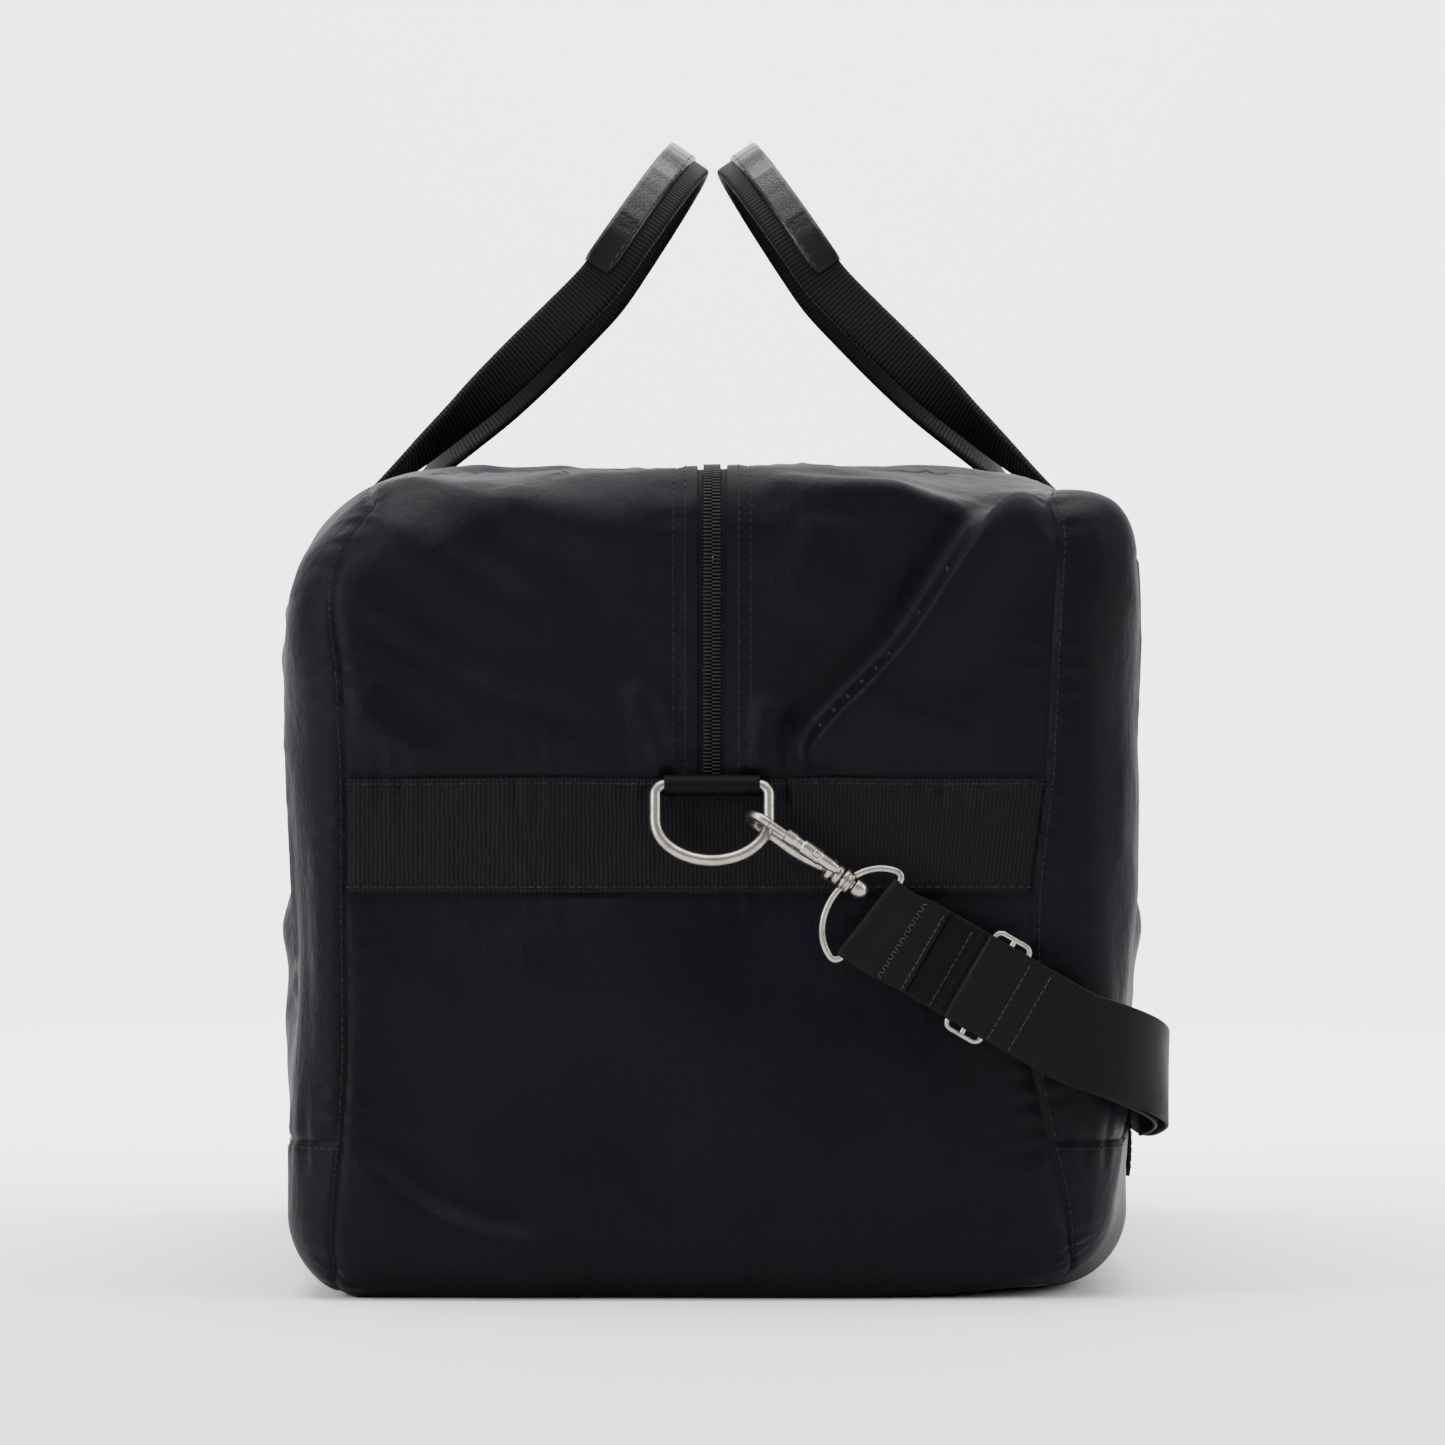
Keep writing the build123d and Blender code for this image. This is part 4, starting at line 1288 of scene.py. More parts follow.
    def skin(self, box: Points, lift: "float | Points" = 0.0) -> Points:
        """Points on the sagging cloth under points on the box.

        Args:
            box: Points on the plain box.
            lift: Distance to stand off the cloth, outwards.

        Returns:
            The points on the cloth.
        """
        box = np.asarray(box, float)
        points, normals = self.rest(box)
        height = self.filled(points) + self.sewn(points) + self.hem(box) + lift
        rounding = ease(points[:, 2], 0.0, 0.006) if np.ndim(lift) == 0 and lift <= 0 else 1.0
        moved = points + self.folded(points, normals) + normals * height[:, None]
        beside = np.where(points[:, 2] < 0.13, self.width + self.side_room, 1.0) + lift
        before = np.where(points[:, 2] < 0.16, self.length + self.end_room, 1.0) + lift
        moved[:, 0] = np.clip(moved[:, 0], -beside, beside)
        moved[:, 1] = np.clip(moved[:, 1], -before, before)
        rested = np.maximum(moved[:, 2], points[:, 2] * rounding)
        moved[:, 2] = np.where(points[:, 2] < 0.004, rested, moved[:, 2])
        return moved

    def even(self, line: Points, pitch: float) -> Points:
        """Points on the box along a line, evenly spaced once they are on the cloth.

        Args:
            line: The line on the box.
            pitch: Wanted distance on the cloth.

        Returns:
            The points.
        """
        dense = resample(np.asarray(line, float), 0.001)
        run = distances(self.rest(dense)[0])
        at = np.linspace(0.0, run[-1], max(3, round(run[-1] / pitch) + 1))
        return np.stack([np.interp(at, run, dense[:, k]) for k in range(3)], axis=1)


# ---- Sewn body ------------------------------------------------------------------------


@dataclass
class SewnBody:
    """The cloth panels, cut from one laid-out box along the seams, and their lining."""

    form: BagForm
    cells: tuple = (0.0022, 0.0034, 0.0022)
    cloth: float = 0.0014
    lining_gap: float = 0.0030
    lining_wall: float = 0.0005
    lining_slot: float = 0.0145
    lining_cells: tuple = (0.0058, 0.0058, 0.0058)
    hinge_x: float = 0.1125
    bend: float = 0.035
    shell_cut: tuple = (0.438, 0.664)
    shell_area: float = 0.240
    bottom_cut: tuple = (0.473, 0.664)
    bottom_area: float = 0.247
    end_cut: tuple = (0.281, 0.217)
    end_upper_cut: tuple = (0.1345, 0.214)
    flap_cut: tuple = (0.098, 0.470)
    tub_cut: tuple = (0.937, 1.192)
    tub_area: float = 0.766

    def laid_out(self, name: str, cells: tuple) -> Piece:
        """The bag's box as one mesh with edges on every seam and even cells between.

        Args:
            name: The piece's name.
            cells: Size of a cell along X, Y and Z.

        Returns:
            The layout.
        """
        form = self.form
        Bench.clear()
        bpy.ops.mesh.primitive_cube_add(size=1.0, location=(0, 0, 0))
        piece = Bench.named(name)
        size = np.array([2 * form.width, 2 * form.length, form.height])
        Bench.move(piece, Bench.points(piece) * size + np.array([0, 0, form.height / 2]))
        cuts = {
            0: [0.0] + [s * v for s in (-1, 1) for v in (form.slot, form.seam)],
            1: [0.0] + [s * v for s in (-1, 1) for v in (form.opening, form.under)],
            2: [form.wrap, form.split, form.zip_low],
        }
        bpy.ops.object.mode_set(mode="EDIT")
        for axis, places in cuts.items():
            for place in places:
                spot, way = [0.0] * 3, [0.0] * 3
                spot[axis], way[axis] = place, 1.0
                bpy.ops.mesh.select_all(action="SELECT")
                bpy.ops.mesh.bisect(plane_co=spot, plane_no=way)
        bpy.ops.object.mode_set(mode="OBJECT")
        limits = {0: (-form.width, form.width), 1: (-form.length, form.length), 2: (0.0, form.height)}
        for axis, places in cuts.items():
            stops = sorted([*places, *limits[axis]])
            for low, high in zip(stops, stops[1:]):
                count = round((high - low) / cells[axis])
                if count > 1:
                    self.divide(piece, axis, (low + high) / 2, count - 1)
        return piece

    @staticmethod
    def divide(piece: Piece, axis: int, middle: float, cuts: int) -> None:
        """Cut every edge that runs along axis and spans middle.

        Args:
            piece: The layout.
            axis: 0, 1 or 2.
            middle: A place along that axis.
            cuts: Cuts in each edge.
        """
        Bench.pick(piece)
        bpy.ops.object.mode_set(mode="EDIT")
        bpy.ops.mesh.select_mode(type="EDGE")
        bpy.ops.mesh.select_all(action="DESELECT")
        bpy.ops.object.mode_set(mode="OBJECT")
        points = Bench.points(piece)
        ends = np.empty(len(piece.data.edges) * 2, int)
        piece.data.edges.foreach_get("vertices", ends)
        first, second = points[ends.reshape(-1, 2)[:, 0]], points[ends.reshape(-1, 2)[:, 1]]
        spans = (np.minimum(first, second)[:, axis] < middle) & (np.maximum(first, second)[:, axis] > middle)
        piece.data.edges.foreach_set("select", spans)
        bpy.ops.object.mode_set(mode="EDIT")
        bpy.ops.mesh.subdivide(number_cuts=cuts)
        bpy.ops.object.mode_set(mode="OBJECT")

    def region(self, x: Points, y: Points, z: Points) -> Points:
        """The panel that each face of the box belongs to, by the face's middle.

        Args:
            x: The faces' places along X.
            y: Along Y.
            z: Along Z.

        Returns:
            The panel's name for each face.
        """
        form, tiny = self.form, 1e-5
        end = np.abs(y) > form.length - tiny
        top, under = z > form.height - tiny, z < tiny
        inner = np.abs(x) < form.seam
        near = y < 0
        names = np.full(len(x), "shell_left", dtype="U32")
        names[x > 0] = "shell_right"
        low_end = (end & inner & (z < form.split)) | (under & inner & (np.abs(y) > form.under))
        names[(under | (z < form.wrap)) & ~low_end] = "bottom_cloth"
        names[low_end & near] = "end_cloth_near"
        names[low_end & ~near] = "end_cloth_far"
        upper = inner & ((end & (z > form.split)) | (top & (np.abs(y) > form.opening)))
        for end_side, is_end in (("near", near), ("far", ~near)):
            for side, is_side in (("left", x < 0), ("right", x > 0)):
                names[upper & is_end & is_side] = f"end_upper_cloth_{end_side}_{side}"
        slot = (np.abs(x) < form.slot) & (top | (end & (z > form.zip_low)))
        names[slot] = "slot"
        return names

    def build(self) -> dict[str, Piece]:
        """Cut the panels apart, shape them and give them their thickness.

        Returns:
            Each panel by name.
        """
        whole = self.laid_out("layout", self.cells)
        box = Bench.points(whole)
        mesh = whole.data
        middles = np.empty(len(mesh.polygons) * 3)
        mesh.polygons.foreach_get("center", middles)
        names = self.region(*middles.reshape(-1, 3).T)
        shaped = self.form.skin(box)
        faces = [tuple(p.vertices) for p in mesh.polygons]
        panels = {}
        for name in sorted(set(names) - {"slot"}):
            panels[name] = self.panel(name, shaped, faces, names == name)
            Bench.modify(panels[name], "SOLIDIFY", thickness=self.cloth, offset=-1.0)
            Bench.smooth(panels[name], 50.0)
        bpy.data.objects.remove(whole)
        return panels

    @staticmethod
    def panel(name: str, points: Points, faces: list, chosen: Points) -> Piece:
        """One panel's own mesh, from the chosen faces of the layout.

        Args:
            name: The piece's name.
            points: The layout's points.
            faces: The layout's faces.
            chosen: Whether each face is in the panel.

        Returns:
            The panel.
        """
        kept = [f for f, c in zip(faces, chosen) if c]
        used = sorted({v for f in kept for v in f})
        number = {v: i for i, v in enumerate(used)}
        return Bench.meshed(name, points[used], [tuple(number[v] for v in f) for f in kept])

    def line_inside(self) -> None:
        """The lining: a tub inside the body and a sheet under each opening panel."""
        form = self.form
        whole = self.laid_out("lining_layout", self.lining_cells)
        box = Bench.points(whole)
        faces = [tuple(p.vertices) for p in whole.data.polygons]
        bpy.data.objects.remove(whole)
        inner = form.skin(box, -self.lining_gap)
        middles = np.array([box[list(f)].mean(axis=0) for f in faces])
        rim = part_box("lining_tub")[1].z
        tub = self.panel("lining_cloth", inner, faces, middles[:, 2] < rim)
        flap = (middles[:, 2] > form.height - 1e-5) & (np.abs(middles[:, 1]) < form.opening)
        flap &= np.abs(middles[:, 0]) > self.lining_slot
        pieces = [(tub, None, ("lining_tub",))]
        for side in Side:
            inside = flap & (side.value * middles[:, 0] > 0) & (np.abs(middles[:, 0]) < self.hinge_x)
            sheet = self.panel(f"flap_lining_{side.word}", inner, faces, inside)
            pieces.append((sheet, side, (f"top_lining_{side.word}",)))
        for piece, side, nodes in pieces:
            Bench.modify(piece, "SOLIDIFY", thickness=self.lining_wall, offset=-1.0)
            Bench.smooth(piece, 50.0)
            Bench.settle(piece, Finish.LINING, None if side else "root", nodes, "lining")
            if side:
                self.hinge(piece, side)
                f"shell_{side.word}"

    def hinge(self, piece: Piece, side: Side) -> None:
        """Bake a piece's placement into its mesh.

        Args:
            piece: The piece, changed in place.
            side: The side of the bag.
        """
        f"top_{side.word}"
        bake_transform(piece)

    def dress(self, panels: dict[str, Piece]) -> None:
        """Give every panel its cloth and its body, and hide the CAD panels that it stands for.

        Args:
            panels: Each panel by name.
        """
        for name, piece in panels.items():
            if name.startswith("shell"):
                side = Side[name.split("_")[1].upper()]
                nodes = (f"side_panel_{side.word}", f"top_panel_{side.word}")
                Bench.settle(piece, Finish.NYLON, None, nodes, "nylon")
                self.hinge(piece, side)
            elif name.startswith("end_upper"):
                Bench.settle(piece, Finish.NYLON, "root", (name.replace("_cloth", ""),), "nylon")
                shell = f"shell_{name.split('_')[-1]}"
            elif name == "bottom_cloth":
                Bench.settle(piece, Finish.NYLON, "root", ("bottom_panel",), "base_nylon")
            else:
                Bench.settle(piece, Finish.NYLON, "root", (name.replace("cloth", "panel"),), "nylon")


# ---- Zip ------------------------------------------------------------------------------


@dataclass
class Zip:
    """The two-way opening: tapes and coil teeth, with slider and pull."""

    form: BagForm
    tape_half: float = 0.0138
    tape_gap: float = 0.0004
    tape_wall: float = 0.0006
    tape_cells: int = 8
    tape_size: tuple = (0.4, 0.014)
    sink: float = 0.0019
    tooth: tuple = (0.0037, 0.00095, 0.0017)
    tooth_round: float = 0.00032
    tooth_pitch: float = 0.0015
    tooth_middle: float = 0.0017
    coil_lift: float = -0.0004
    slider_round: float = 0.0004

    def runs(self) -> dict[str, Points]:
        """The zip's centre line on the box, for the top and for each end.

        Returns:
            Each run by its part of the pieces' names.
        """
        f = self.form
        runs = {"": np.array([(0, f.opening - MM, f.height), (0, -f.opening + MM, f.height)])}
        for end in End:
            e = end.value
            down = [(0, e * f.opening, f.height), (0, e * f.length, f.height), (0, e * f.length, f.zip_low)]
            runs[f"{end.word}_"] = np.array(down)
        return runs

    def build(self) -> None:
        """Tapes and teeth for each run and side, and the plated slider and pull."""
        for word, line in self.runs().items():
            for side in Side:
                body = "root" if word else f"top_{side.word}"
                self.tape(word, line, side, body)
                self.teeth(word, line, side, body)
        for name in ("zip_slider", "zip_pull"):
            Hardware.plate(name, Finish.ZIP_METAL, self.slider_round)

    def tape(self, word: str, line: Points, side: Side, body: str) -> None:
        """One strip of tape, from the coil to its sewn edge under the cloth.

        Args:
            word: The run's part of the name, empty for the top.
            line: The run on the box.
            side: The side of the bag.
            body: The CAD body that the piece rides on.
        """
        form = self.form
        boxed = form.even(line, 0.004)
        reach = np.linspace(self.tape_gap, self.tape_half, self.tape_cells + 1)

        def shape(u: np.ndarray, v: np.ndarray) -> Points:
            """The tape's upper face."""
            at = boxed[rows(u, len(boxed) - 1)].copy()
            at[:, 0] = side.value * reach[rows(v, self.tape_cells)]
            return form.skin(at, -self.sink)

        cells = (len(boxed) - 1, self.tape_cells)
        name = f"zip_tape_strip_{word}{side.word}"
        piece = Bench.sheet(name, cells, shape, self.tape_size, self.tape_wall, 0.0)
        Bench.settle(piece, Finish.ZIP_TAPE, body, (f"zip_tape_{word}{side.word}",), "zip_tape")

    def teeth(self, word: str, line: Points, side: Side, body: str) -> None:
        """The coil's turns along one side, each meshing past the middle.

        Args:
            word: The run's part of the name, empty for the top.
            line: The run on the box.
            side: The side of the bag.
            body: The CAD body that the piece rides on.
        """
        form = self.form
        boxed = form.even(line, self.tooth_pitch)
        way = unit(np.gradient(form.skin(boxed, self.coil_lift), axis=0))
        shift = (way * self.tooth_pitch / 2) if side is Side.RIGHT else 0.0
        at = boxed.copy()
        at[:, 0] = side.value * self.tooth_middle
        spots = form.skin(at, self.coil_lift) + shift
        Bench.clear()
        bpy.ops.mesh.primitive_cube_add(size=1.0)
        tooth = Bench.named("tooth")
        Bench.move(tooth, Bench.points(tooth) * np.array(self.tooth))
        Bench.modify(tooth, "BEVEL", width=self.tooth_round, segments=1, limit_method="NONE")
        across = np.broadcast_to([1.0, 0, 0], way.shape)
        axes = np.stack([across, way, np.cross(across, way)], axis=1)
        piece = Bench.copies(f"zip_teeth_{word}{side.word}", tooth, spots, axes)
        Bench.settle(piece, Finish.COIL, body, (f"zip_coil_{word}{side.word}",), "zip_coil")


# ---- End bands ------------------------------------------------------------------------


@dataclass
class EndBand:
    """The webbing band across one end, with the sleeve that carries the D-ring's bar."""

    form: BagForm
    end: End
    wall: float = 0.0015
    tuck: float = 0.0008
    cells: tuple = (150, 26)
    sleeve_wall: float = 0.0006
    sleeve_ends: tuple = ((-0.3006, 0.2100), (-0.3006, 0.2036))
    sleeve_half: float = 0.0194
    sleeve_radius: float = 0.0037
    bar: tuple = (-0.3063, 0.2068)

    def build(self) -> None:
        """The band and its sleeve."""
        form, e = self.form, self.end.value

        def band(u: np.ndarray, v: np.ndarray) -> Points:
            """The band's outer face, its edges tucked into both seams."""
            x = (u * 2 - 1) * (form.seam - 0.0004)
            z = form.band_low + v * (form.band_high - form.band_low)
            edge = 1 - ease(form.seam - np.abs(x), 0.0, 0.004)
            return form.skin(columns(x, e * form.length, z), self.wall - self.tuck * edge)

        size = (2 * form.seam, form.band_high - form.band_low)
        piece = Bench.sheet(f"band_{self.end.word}", self.cells, band, size, self.wall, e)
        Bench.merge(piece)
        Bench.settle(piece, Finish.BAND, "root", (f"end_band_{self.end.word}",), "band_webbing")
        self.sleeve()

    def sleeve(self) -> None:
        """A smooth tape turned over the ring's bar and sewn behind it."""
        y, z = self.bar
        r = self.sleeve_radius
        wrap = [self.sleeve_ends[0]]
        for angle in np.linspace(92, 268, 18):
            turn = math.radians(angle)
            wrap.append((y + r * math.cos(turn), z + r * math.sin(turn)))
        wrap.append(self.sleeve_ends[1])
        run = smooth_line(resample(np.array(wrap), 0.0009), 3)
        line = columns(0.0, run[:, 0] * -self.end.value, run[:, 1])
        across = np.broadcast_to([1.0, 0, 0], line.shape)
        half = self.sleeve_half + 0.0004 * np.sin(np.linspace(0, 9, len(line)))
        word = self.end.word
        piece = Bench.strip(f"ring_sleeve_{word}", line, across, half, self.sleeve_wall)
        Bench.settle(piece, Finish.SMOOTH_TAPE, "root", (f"d_ring_sleeve_{word}",), "sleeve_fabric")


# ---- Hardware -------------------------------------------------------------------------


@dataclass
class Hardware:
    """Rings, hooks and bows of one end, in satin nickel."""

    end: End
    ring_wire: float = 0.0025
    ring_half: float = 0.0227
    ring_side: float = 0.0144
    ring_bow: float = 0.0170
    ring_tilt: float = 17.53
    ring_bar: tuple = (0.0, -0.3063, 0.2068)
    grip: tuple = (0.022294, -0.3116, 0.190017)
    shank_down: float = 34.3
    twist: float = 15.0
    loop: float = 0.0066
    bow_turn: float = 38.0
    bow_middle: tuple = (0.063194, -0.3116, 0.153217)
    bow_half: float = 0.022
    bow_depth: float = 0.0175
    spring_span: tuple = (0.0241, 0.0329)
    spring_turns: int = 6
    spring_coil: float = 0.0013
    spring_wire: float = 0.0002
    spring_keep: float = 0.30

    def placed(self, points: Points) -> Points:
        """Near-end points carried to this end."""
        return np.asarray(points) * np.array([1, -self.end.value, 1])

    def on_hook(self, points: Points) -> Points:
        """Points from the hook's own frame: along its shank, out to the bolt, and across.

        Args:
            points: Points in the hook's frame.

        Returns:
            The points in the bag's frame.
        """
        down, twist = math.radians(self.shank_down), math.radians(self.twist)
        shank = np.array([math.cos(down), 0, -math.sin(down)])
        across = np.array([math.sin(down), 0, math.cos(down)])
        normal = -across * math.cos(twist) + np.array([0, -1, 0]) * math.sin(twist)
        out = np.cross(normal, shank)
        points = np.asarray(points, float)
        return self.placed(np.array(self.grip) + points @ np.array([shank, out, normal]))

    def on_bow(self, points: Points) -> Points:
        """Points from the bow's frame: along the strap, along the bar, and off the bag.

        Args:
            points: Points in the bow's frame.

        Returns:
            The points in the bag's frame.
        """
        turn = math.radians(self.bow_turn)
        way = np.array([math.cos(turn), 0, -math.sin(turn)])
        bar = np.array([math.sin(turn), 0, math.cos(turn)])
        points = np.asarray(points, float)
        return self.placed(np.array(self.bow_middle) + points @ np.array([way, bar, (0, -1, 0)]))

    def build(self) -> None:
        """Every piece of metal at this end."""
        self.ring()
        self.hook()
        self.bolt()
        self.bow()

    def ring(self) -> None:
        """The D-ring: a straight bar, straight sides and a half-oval bow."""
        half, side, r = self.ring_half, self.ring_side, 0.004
        path = [(0, 0), (half - r, 0)]
        path += [(half - r + r * math.sin(t), -r + r * math.cos(t)) for t in np.linspace(0.2, 1.57, 7)]
        path += [(half, -side * k) for k in (0.6, 0.8)]
        bow = np.linspace(0, math.pi / 2, 22)
        path += [(half * math.cos(t), -side - self.ring_bow * math.sin(t)) for t in bow]
        path += [(-x, y) for x, y in path[-2::-1]]
        flat = np.array(path)
        tilt = math.radians(self.ring_tilt)
        points = columns(flat[:, 0], flat[:, 1] * math.sin(tilt), flat[:, 1] * math.cos(tilt))
        even = resample(points + np.array(self.ring_bar), 0.0010)
        piece = Bench.tube(f"ring_wire_{self.end.word}", self.placed(even), self.ring_wire, 18, True)
        self.settle(piece, f"d_ring_{self.end.word}", (f"d_ring_{self.end.word}",))

    def hook(self) -> None:
        """The cast hook: claw, spine, bolt sleeve, web, collars and swivel stem."""
        loop = self.loop
        claw = [(-0.0006, loop), (-0.0014, loop)]
        bow = np.linspace(0.12, math.pi, 20)
        claw += [(-0.0016 - loop * math.sin(t), loop * math.cos(t)) for t in bow]
        claw += [(0.006, -loop), (0.013, -loop * 0.94), (0.020, -loop * 0.66)]
        claw += [(0.0262, -0.0022), (0.0300, 0.0)]
        run = smooth_line(resample(np.array(claw), 0.0006), 6)
        share = np.linspace(0, 1, len(run))
        radius = 0.00185 + 0.0004 * ease(share, 0.1, 0.3) + 0.0008 * hump(share - 0.72, 0.16)
        line = columns(*run.T, 0.0)
        pieces = [Bench.tube("claw", self.on_hook(line), radius, 18)]
        sleeve = [(0.0072, 0.0), (0.0072, 0.0023), (0.0078, 0.0029), (0.0118, 0.0029), (0.0126, 0.0025)]
        sleeve += [(0.0150, 0.0024), (0.0158, 0.0031), (0.0236, 0.0031), (0.0244, 0.0026), (0.0290, 0.0025)]
        sleeve += [(0.0318, 0.0020), (0.0334, 0.0010), (0.0338, 0.0)]
        pieces.append(self.turned("bolt_sleeve", sleeve, loop))
        along = np.linspace(0.0130, 0.0300, 12)
        middle = np.interp(along, [0.013, 0.022, 0.030], [0.0, 0.0016, 0.0024])
        width = np.interp(along, [0.013, 0.020, 0.030], [0.0052, 0.0040, 0.0026])
        web = self.on_hook(columns(along, middle, 0.0))
        out = np.broadcast_to(self.on_hook([[0, 1, 0]]) - self.on_hook([[0, 0, 0]]), web.shape)
        pieces.append(Bench.strip("web", web, out, width, 0.0011, 6))
        stem = [(0.0268, 0.0), (0.0270, 0.0020), (0.0282, 0.0028), (0.0288, 0.0040), (0.0296, 0.0047)]
        stem += [(0.0308, 0.0047), (0.0315, 0.0040), (0.0318, 0.0029), (0.0322, 0.0036), (0.0330, 0.0043)]
        stem += [(0.0345, 0.0043), (0.0352, 0.0036), (0.0354, 0.0020), (0.0412, 0.0020), (0.0414, 0.0030)]
        stem += [(0.0419, 0.0036), (0.0440, 0.0037), (0.0458, 0.0032), (0.0470, 0.0022), (0.0477, 0.0010)]
        stem += [(0.0479, 0.0)]
        pieces.append(self.turned("stem", stem, 0.0))
        word = self.end.word
        piece = Bench.join(f"hook_{word}", pieces)
        self.settle(piece, f"hook_{word}", (f"snap_hook_{word}",))
        self.spring()

    def spring(self) -> None:
        """The bolt's coil spring, in the bore behind the bolt."""
        word = self.end.word
        start, stop = self.spring_span
        share = np.linspace(0, 1, 24 * self.spring_turns + 1)
        angle = share * 2 * math.pi * self.spring_turns
        along = start + (stop - start) * share
        coil = self.spring_coil
        line = columns(along, self.loop + coil * np.cos(angle), coil * np.sin(angle))
        piece = Bench.tube(f"spring_coil_{word}", self.on_hook(line), self.spring_wire, 8)
        Bench.merge(piece)
        Bench.smooth(piece, 45.0)
        Bench.settle(piece, Finish.SPRING, f"hook_{word}", (f"gate_spring_{word}",))
        anchor, ahead = self.on_hook([[stop, self.loop, 0], [stop + 1, self.loop, 0]])
        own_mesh(piece)

    def turned(self, name: str, profile: list, offset: float) -> Piece:
        """A turned piece along the shank, its profile as distance and radius.

        Args:
            name: The piece's name.
            profile: Its corners.
            offset: Distance of its axis from the shank's.

        Returns:
            The piece.
        """
        steps = resample(np.array(profile), 0.00045)
        line = columns(steps[:, 0], offset, 0.0)
        way = self.on_hook([[1, 0, 0]])[0] - self.on_hook([[0, 0, 0]])[0]
        return Bench.tube(name, self.on_hook(line), np.maximum(steps[:, 1], 1e-5), 24, way=way)

    def bolt(self) -> None:
        """The sliding bolt with its thumb knob."""
        word = self.end.word
        profile = [(-0.0007, 0.0), (-0.0007, 0.0012), (-0.0003, 0.0017), (0.0234, 0.0017), (0.0236, 0.0)]
        rod = self.turned("rod", profile, self.loop)
        knob = [(0.0202, 0.0), (0.0203, 0.0012), (0.0208, 0.0017)]
        knob += [(0.0230, 0.0017), (0.0235, 0.0012), (0.0236, 0.0)]
        thumb = self.turned("thumb", knob, self.loop + 0.0031)
        line = self.on_hook([[0.0219, self.loop + t, 0] for t in np.linspace(0.0, 0.0036, 6)])
        post = Bench.tube("post", line, 0.0011, 14)
        piece = Bench.join(f"gate_{word}", [rod, thumb, post])
        self.settle(piece, f"bolt_{word}", (f"gate_bolt_{word}",))

    def bow(self) -> None:
        """The wire bow that the strap turns round, with its swivel collar."""
        word = self.end.word
        half, depth, r = self.bow_half, self.bow_depth, 0.003
        path = [(0, t) for t in np.linspace(0, half - r, 10)]
        path += [(-r + r * math.cos(t), half - r + r * math.sin(t)) for t in np.linspace(0.3, 1.4, 5)]
        path += [(-depth * math.sin(t), half * math.cos(t)) for t in np.linspace(0.24, math.pi / 2, 24)]
        path += [(x, -y) for x, y in path[-2::-1]]
        flat = smooth_line(resample(np.array(path), 0.0010), 2)
        line = columns(*flat.T, 0.0)
        line[-1] = line[0]
        wire = Bench.tube("wire", self.on_bow(line), 0.0015, 16, True)
        collar = [(0.0357, 0.0021), (0.0357, 0.0040), (0.0364, 0.0047), (0.0372, 0.0047), (0.0378, 0.0041)]
        collar += [(0.0384, 0.0041), (0.0390, 0.0047), (0.0398, 0.0047), (0.0404, 0.0040), (0.0404, 0.0021)]
        piece = Bench.join(f"bow_{word}", [wire, self.turned("collar", collar, 0.0)])
        self.settle(piece, "strap", (f"swivel_bow_{word}",))

    @staticmethod
    def settle(piece: Piece, body: str, nodes: tuple) -> None:
        """Plate a piece and put it in its body.

        Args:
            piece: The piece, changed in place.
            body: The CAD body that the piece rides on.
            nodes: CAD nodes that it stands for.
        """
        Bench.merge(piece)
        Bench.smooth(piece, 45.0)
        Bench.settle(piece, Finish.NICKEL, body, nodes, "nickel")

    @staticmethod
    def plate(name: str, finish: Finish, bevel: float) -> None:
        """Dress a CAD node: its finish, and its edges rounded.

        Args:
            name: The node.
            finish: Its finish.
            bevel: Width of the rounding, or 0.
        """
        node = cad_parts[name]
        node.data.materials.clear()
        node.data.materials.append(finish.built)
        if bevel:
            made = node.modifiers.new("Rounding", "BEVEL")
            made.width, made.segments, made.limit_method = bevel, 2, "ANGLE"
            made.harden_normals = True


# ---- Handles --------------------------------------------------------------------------


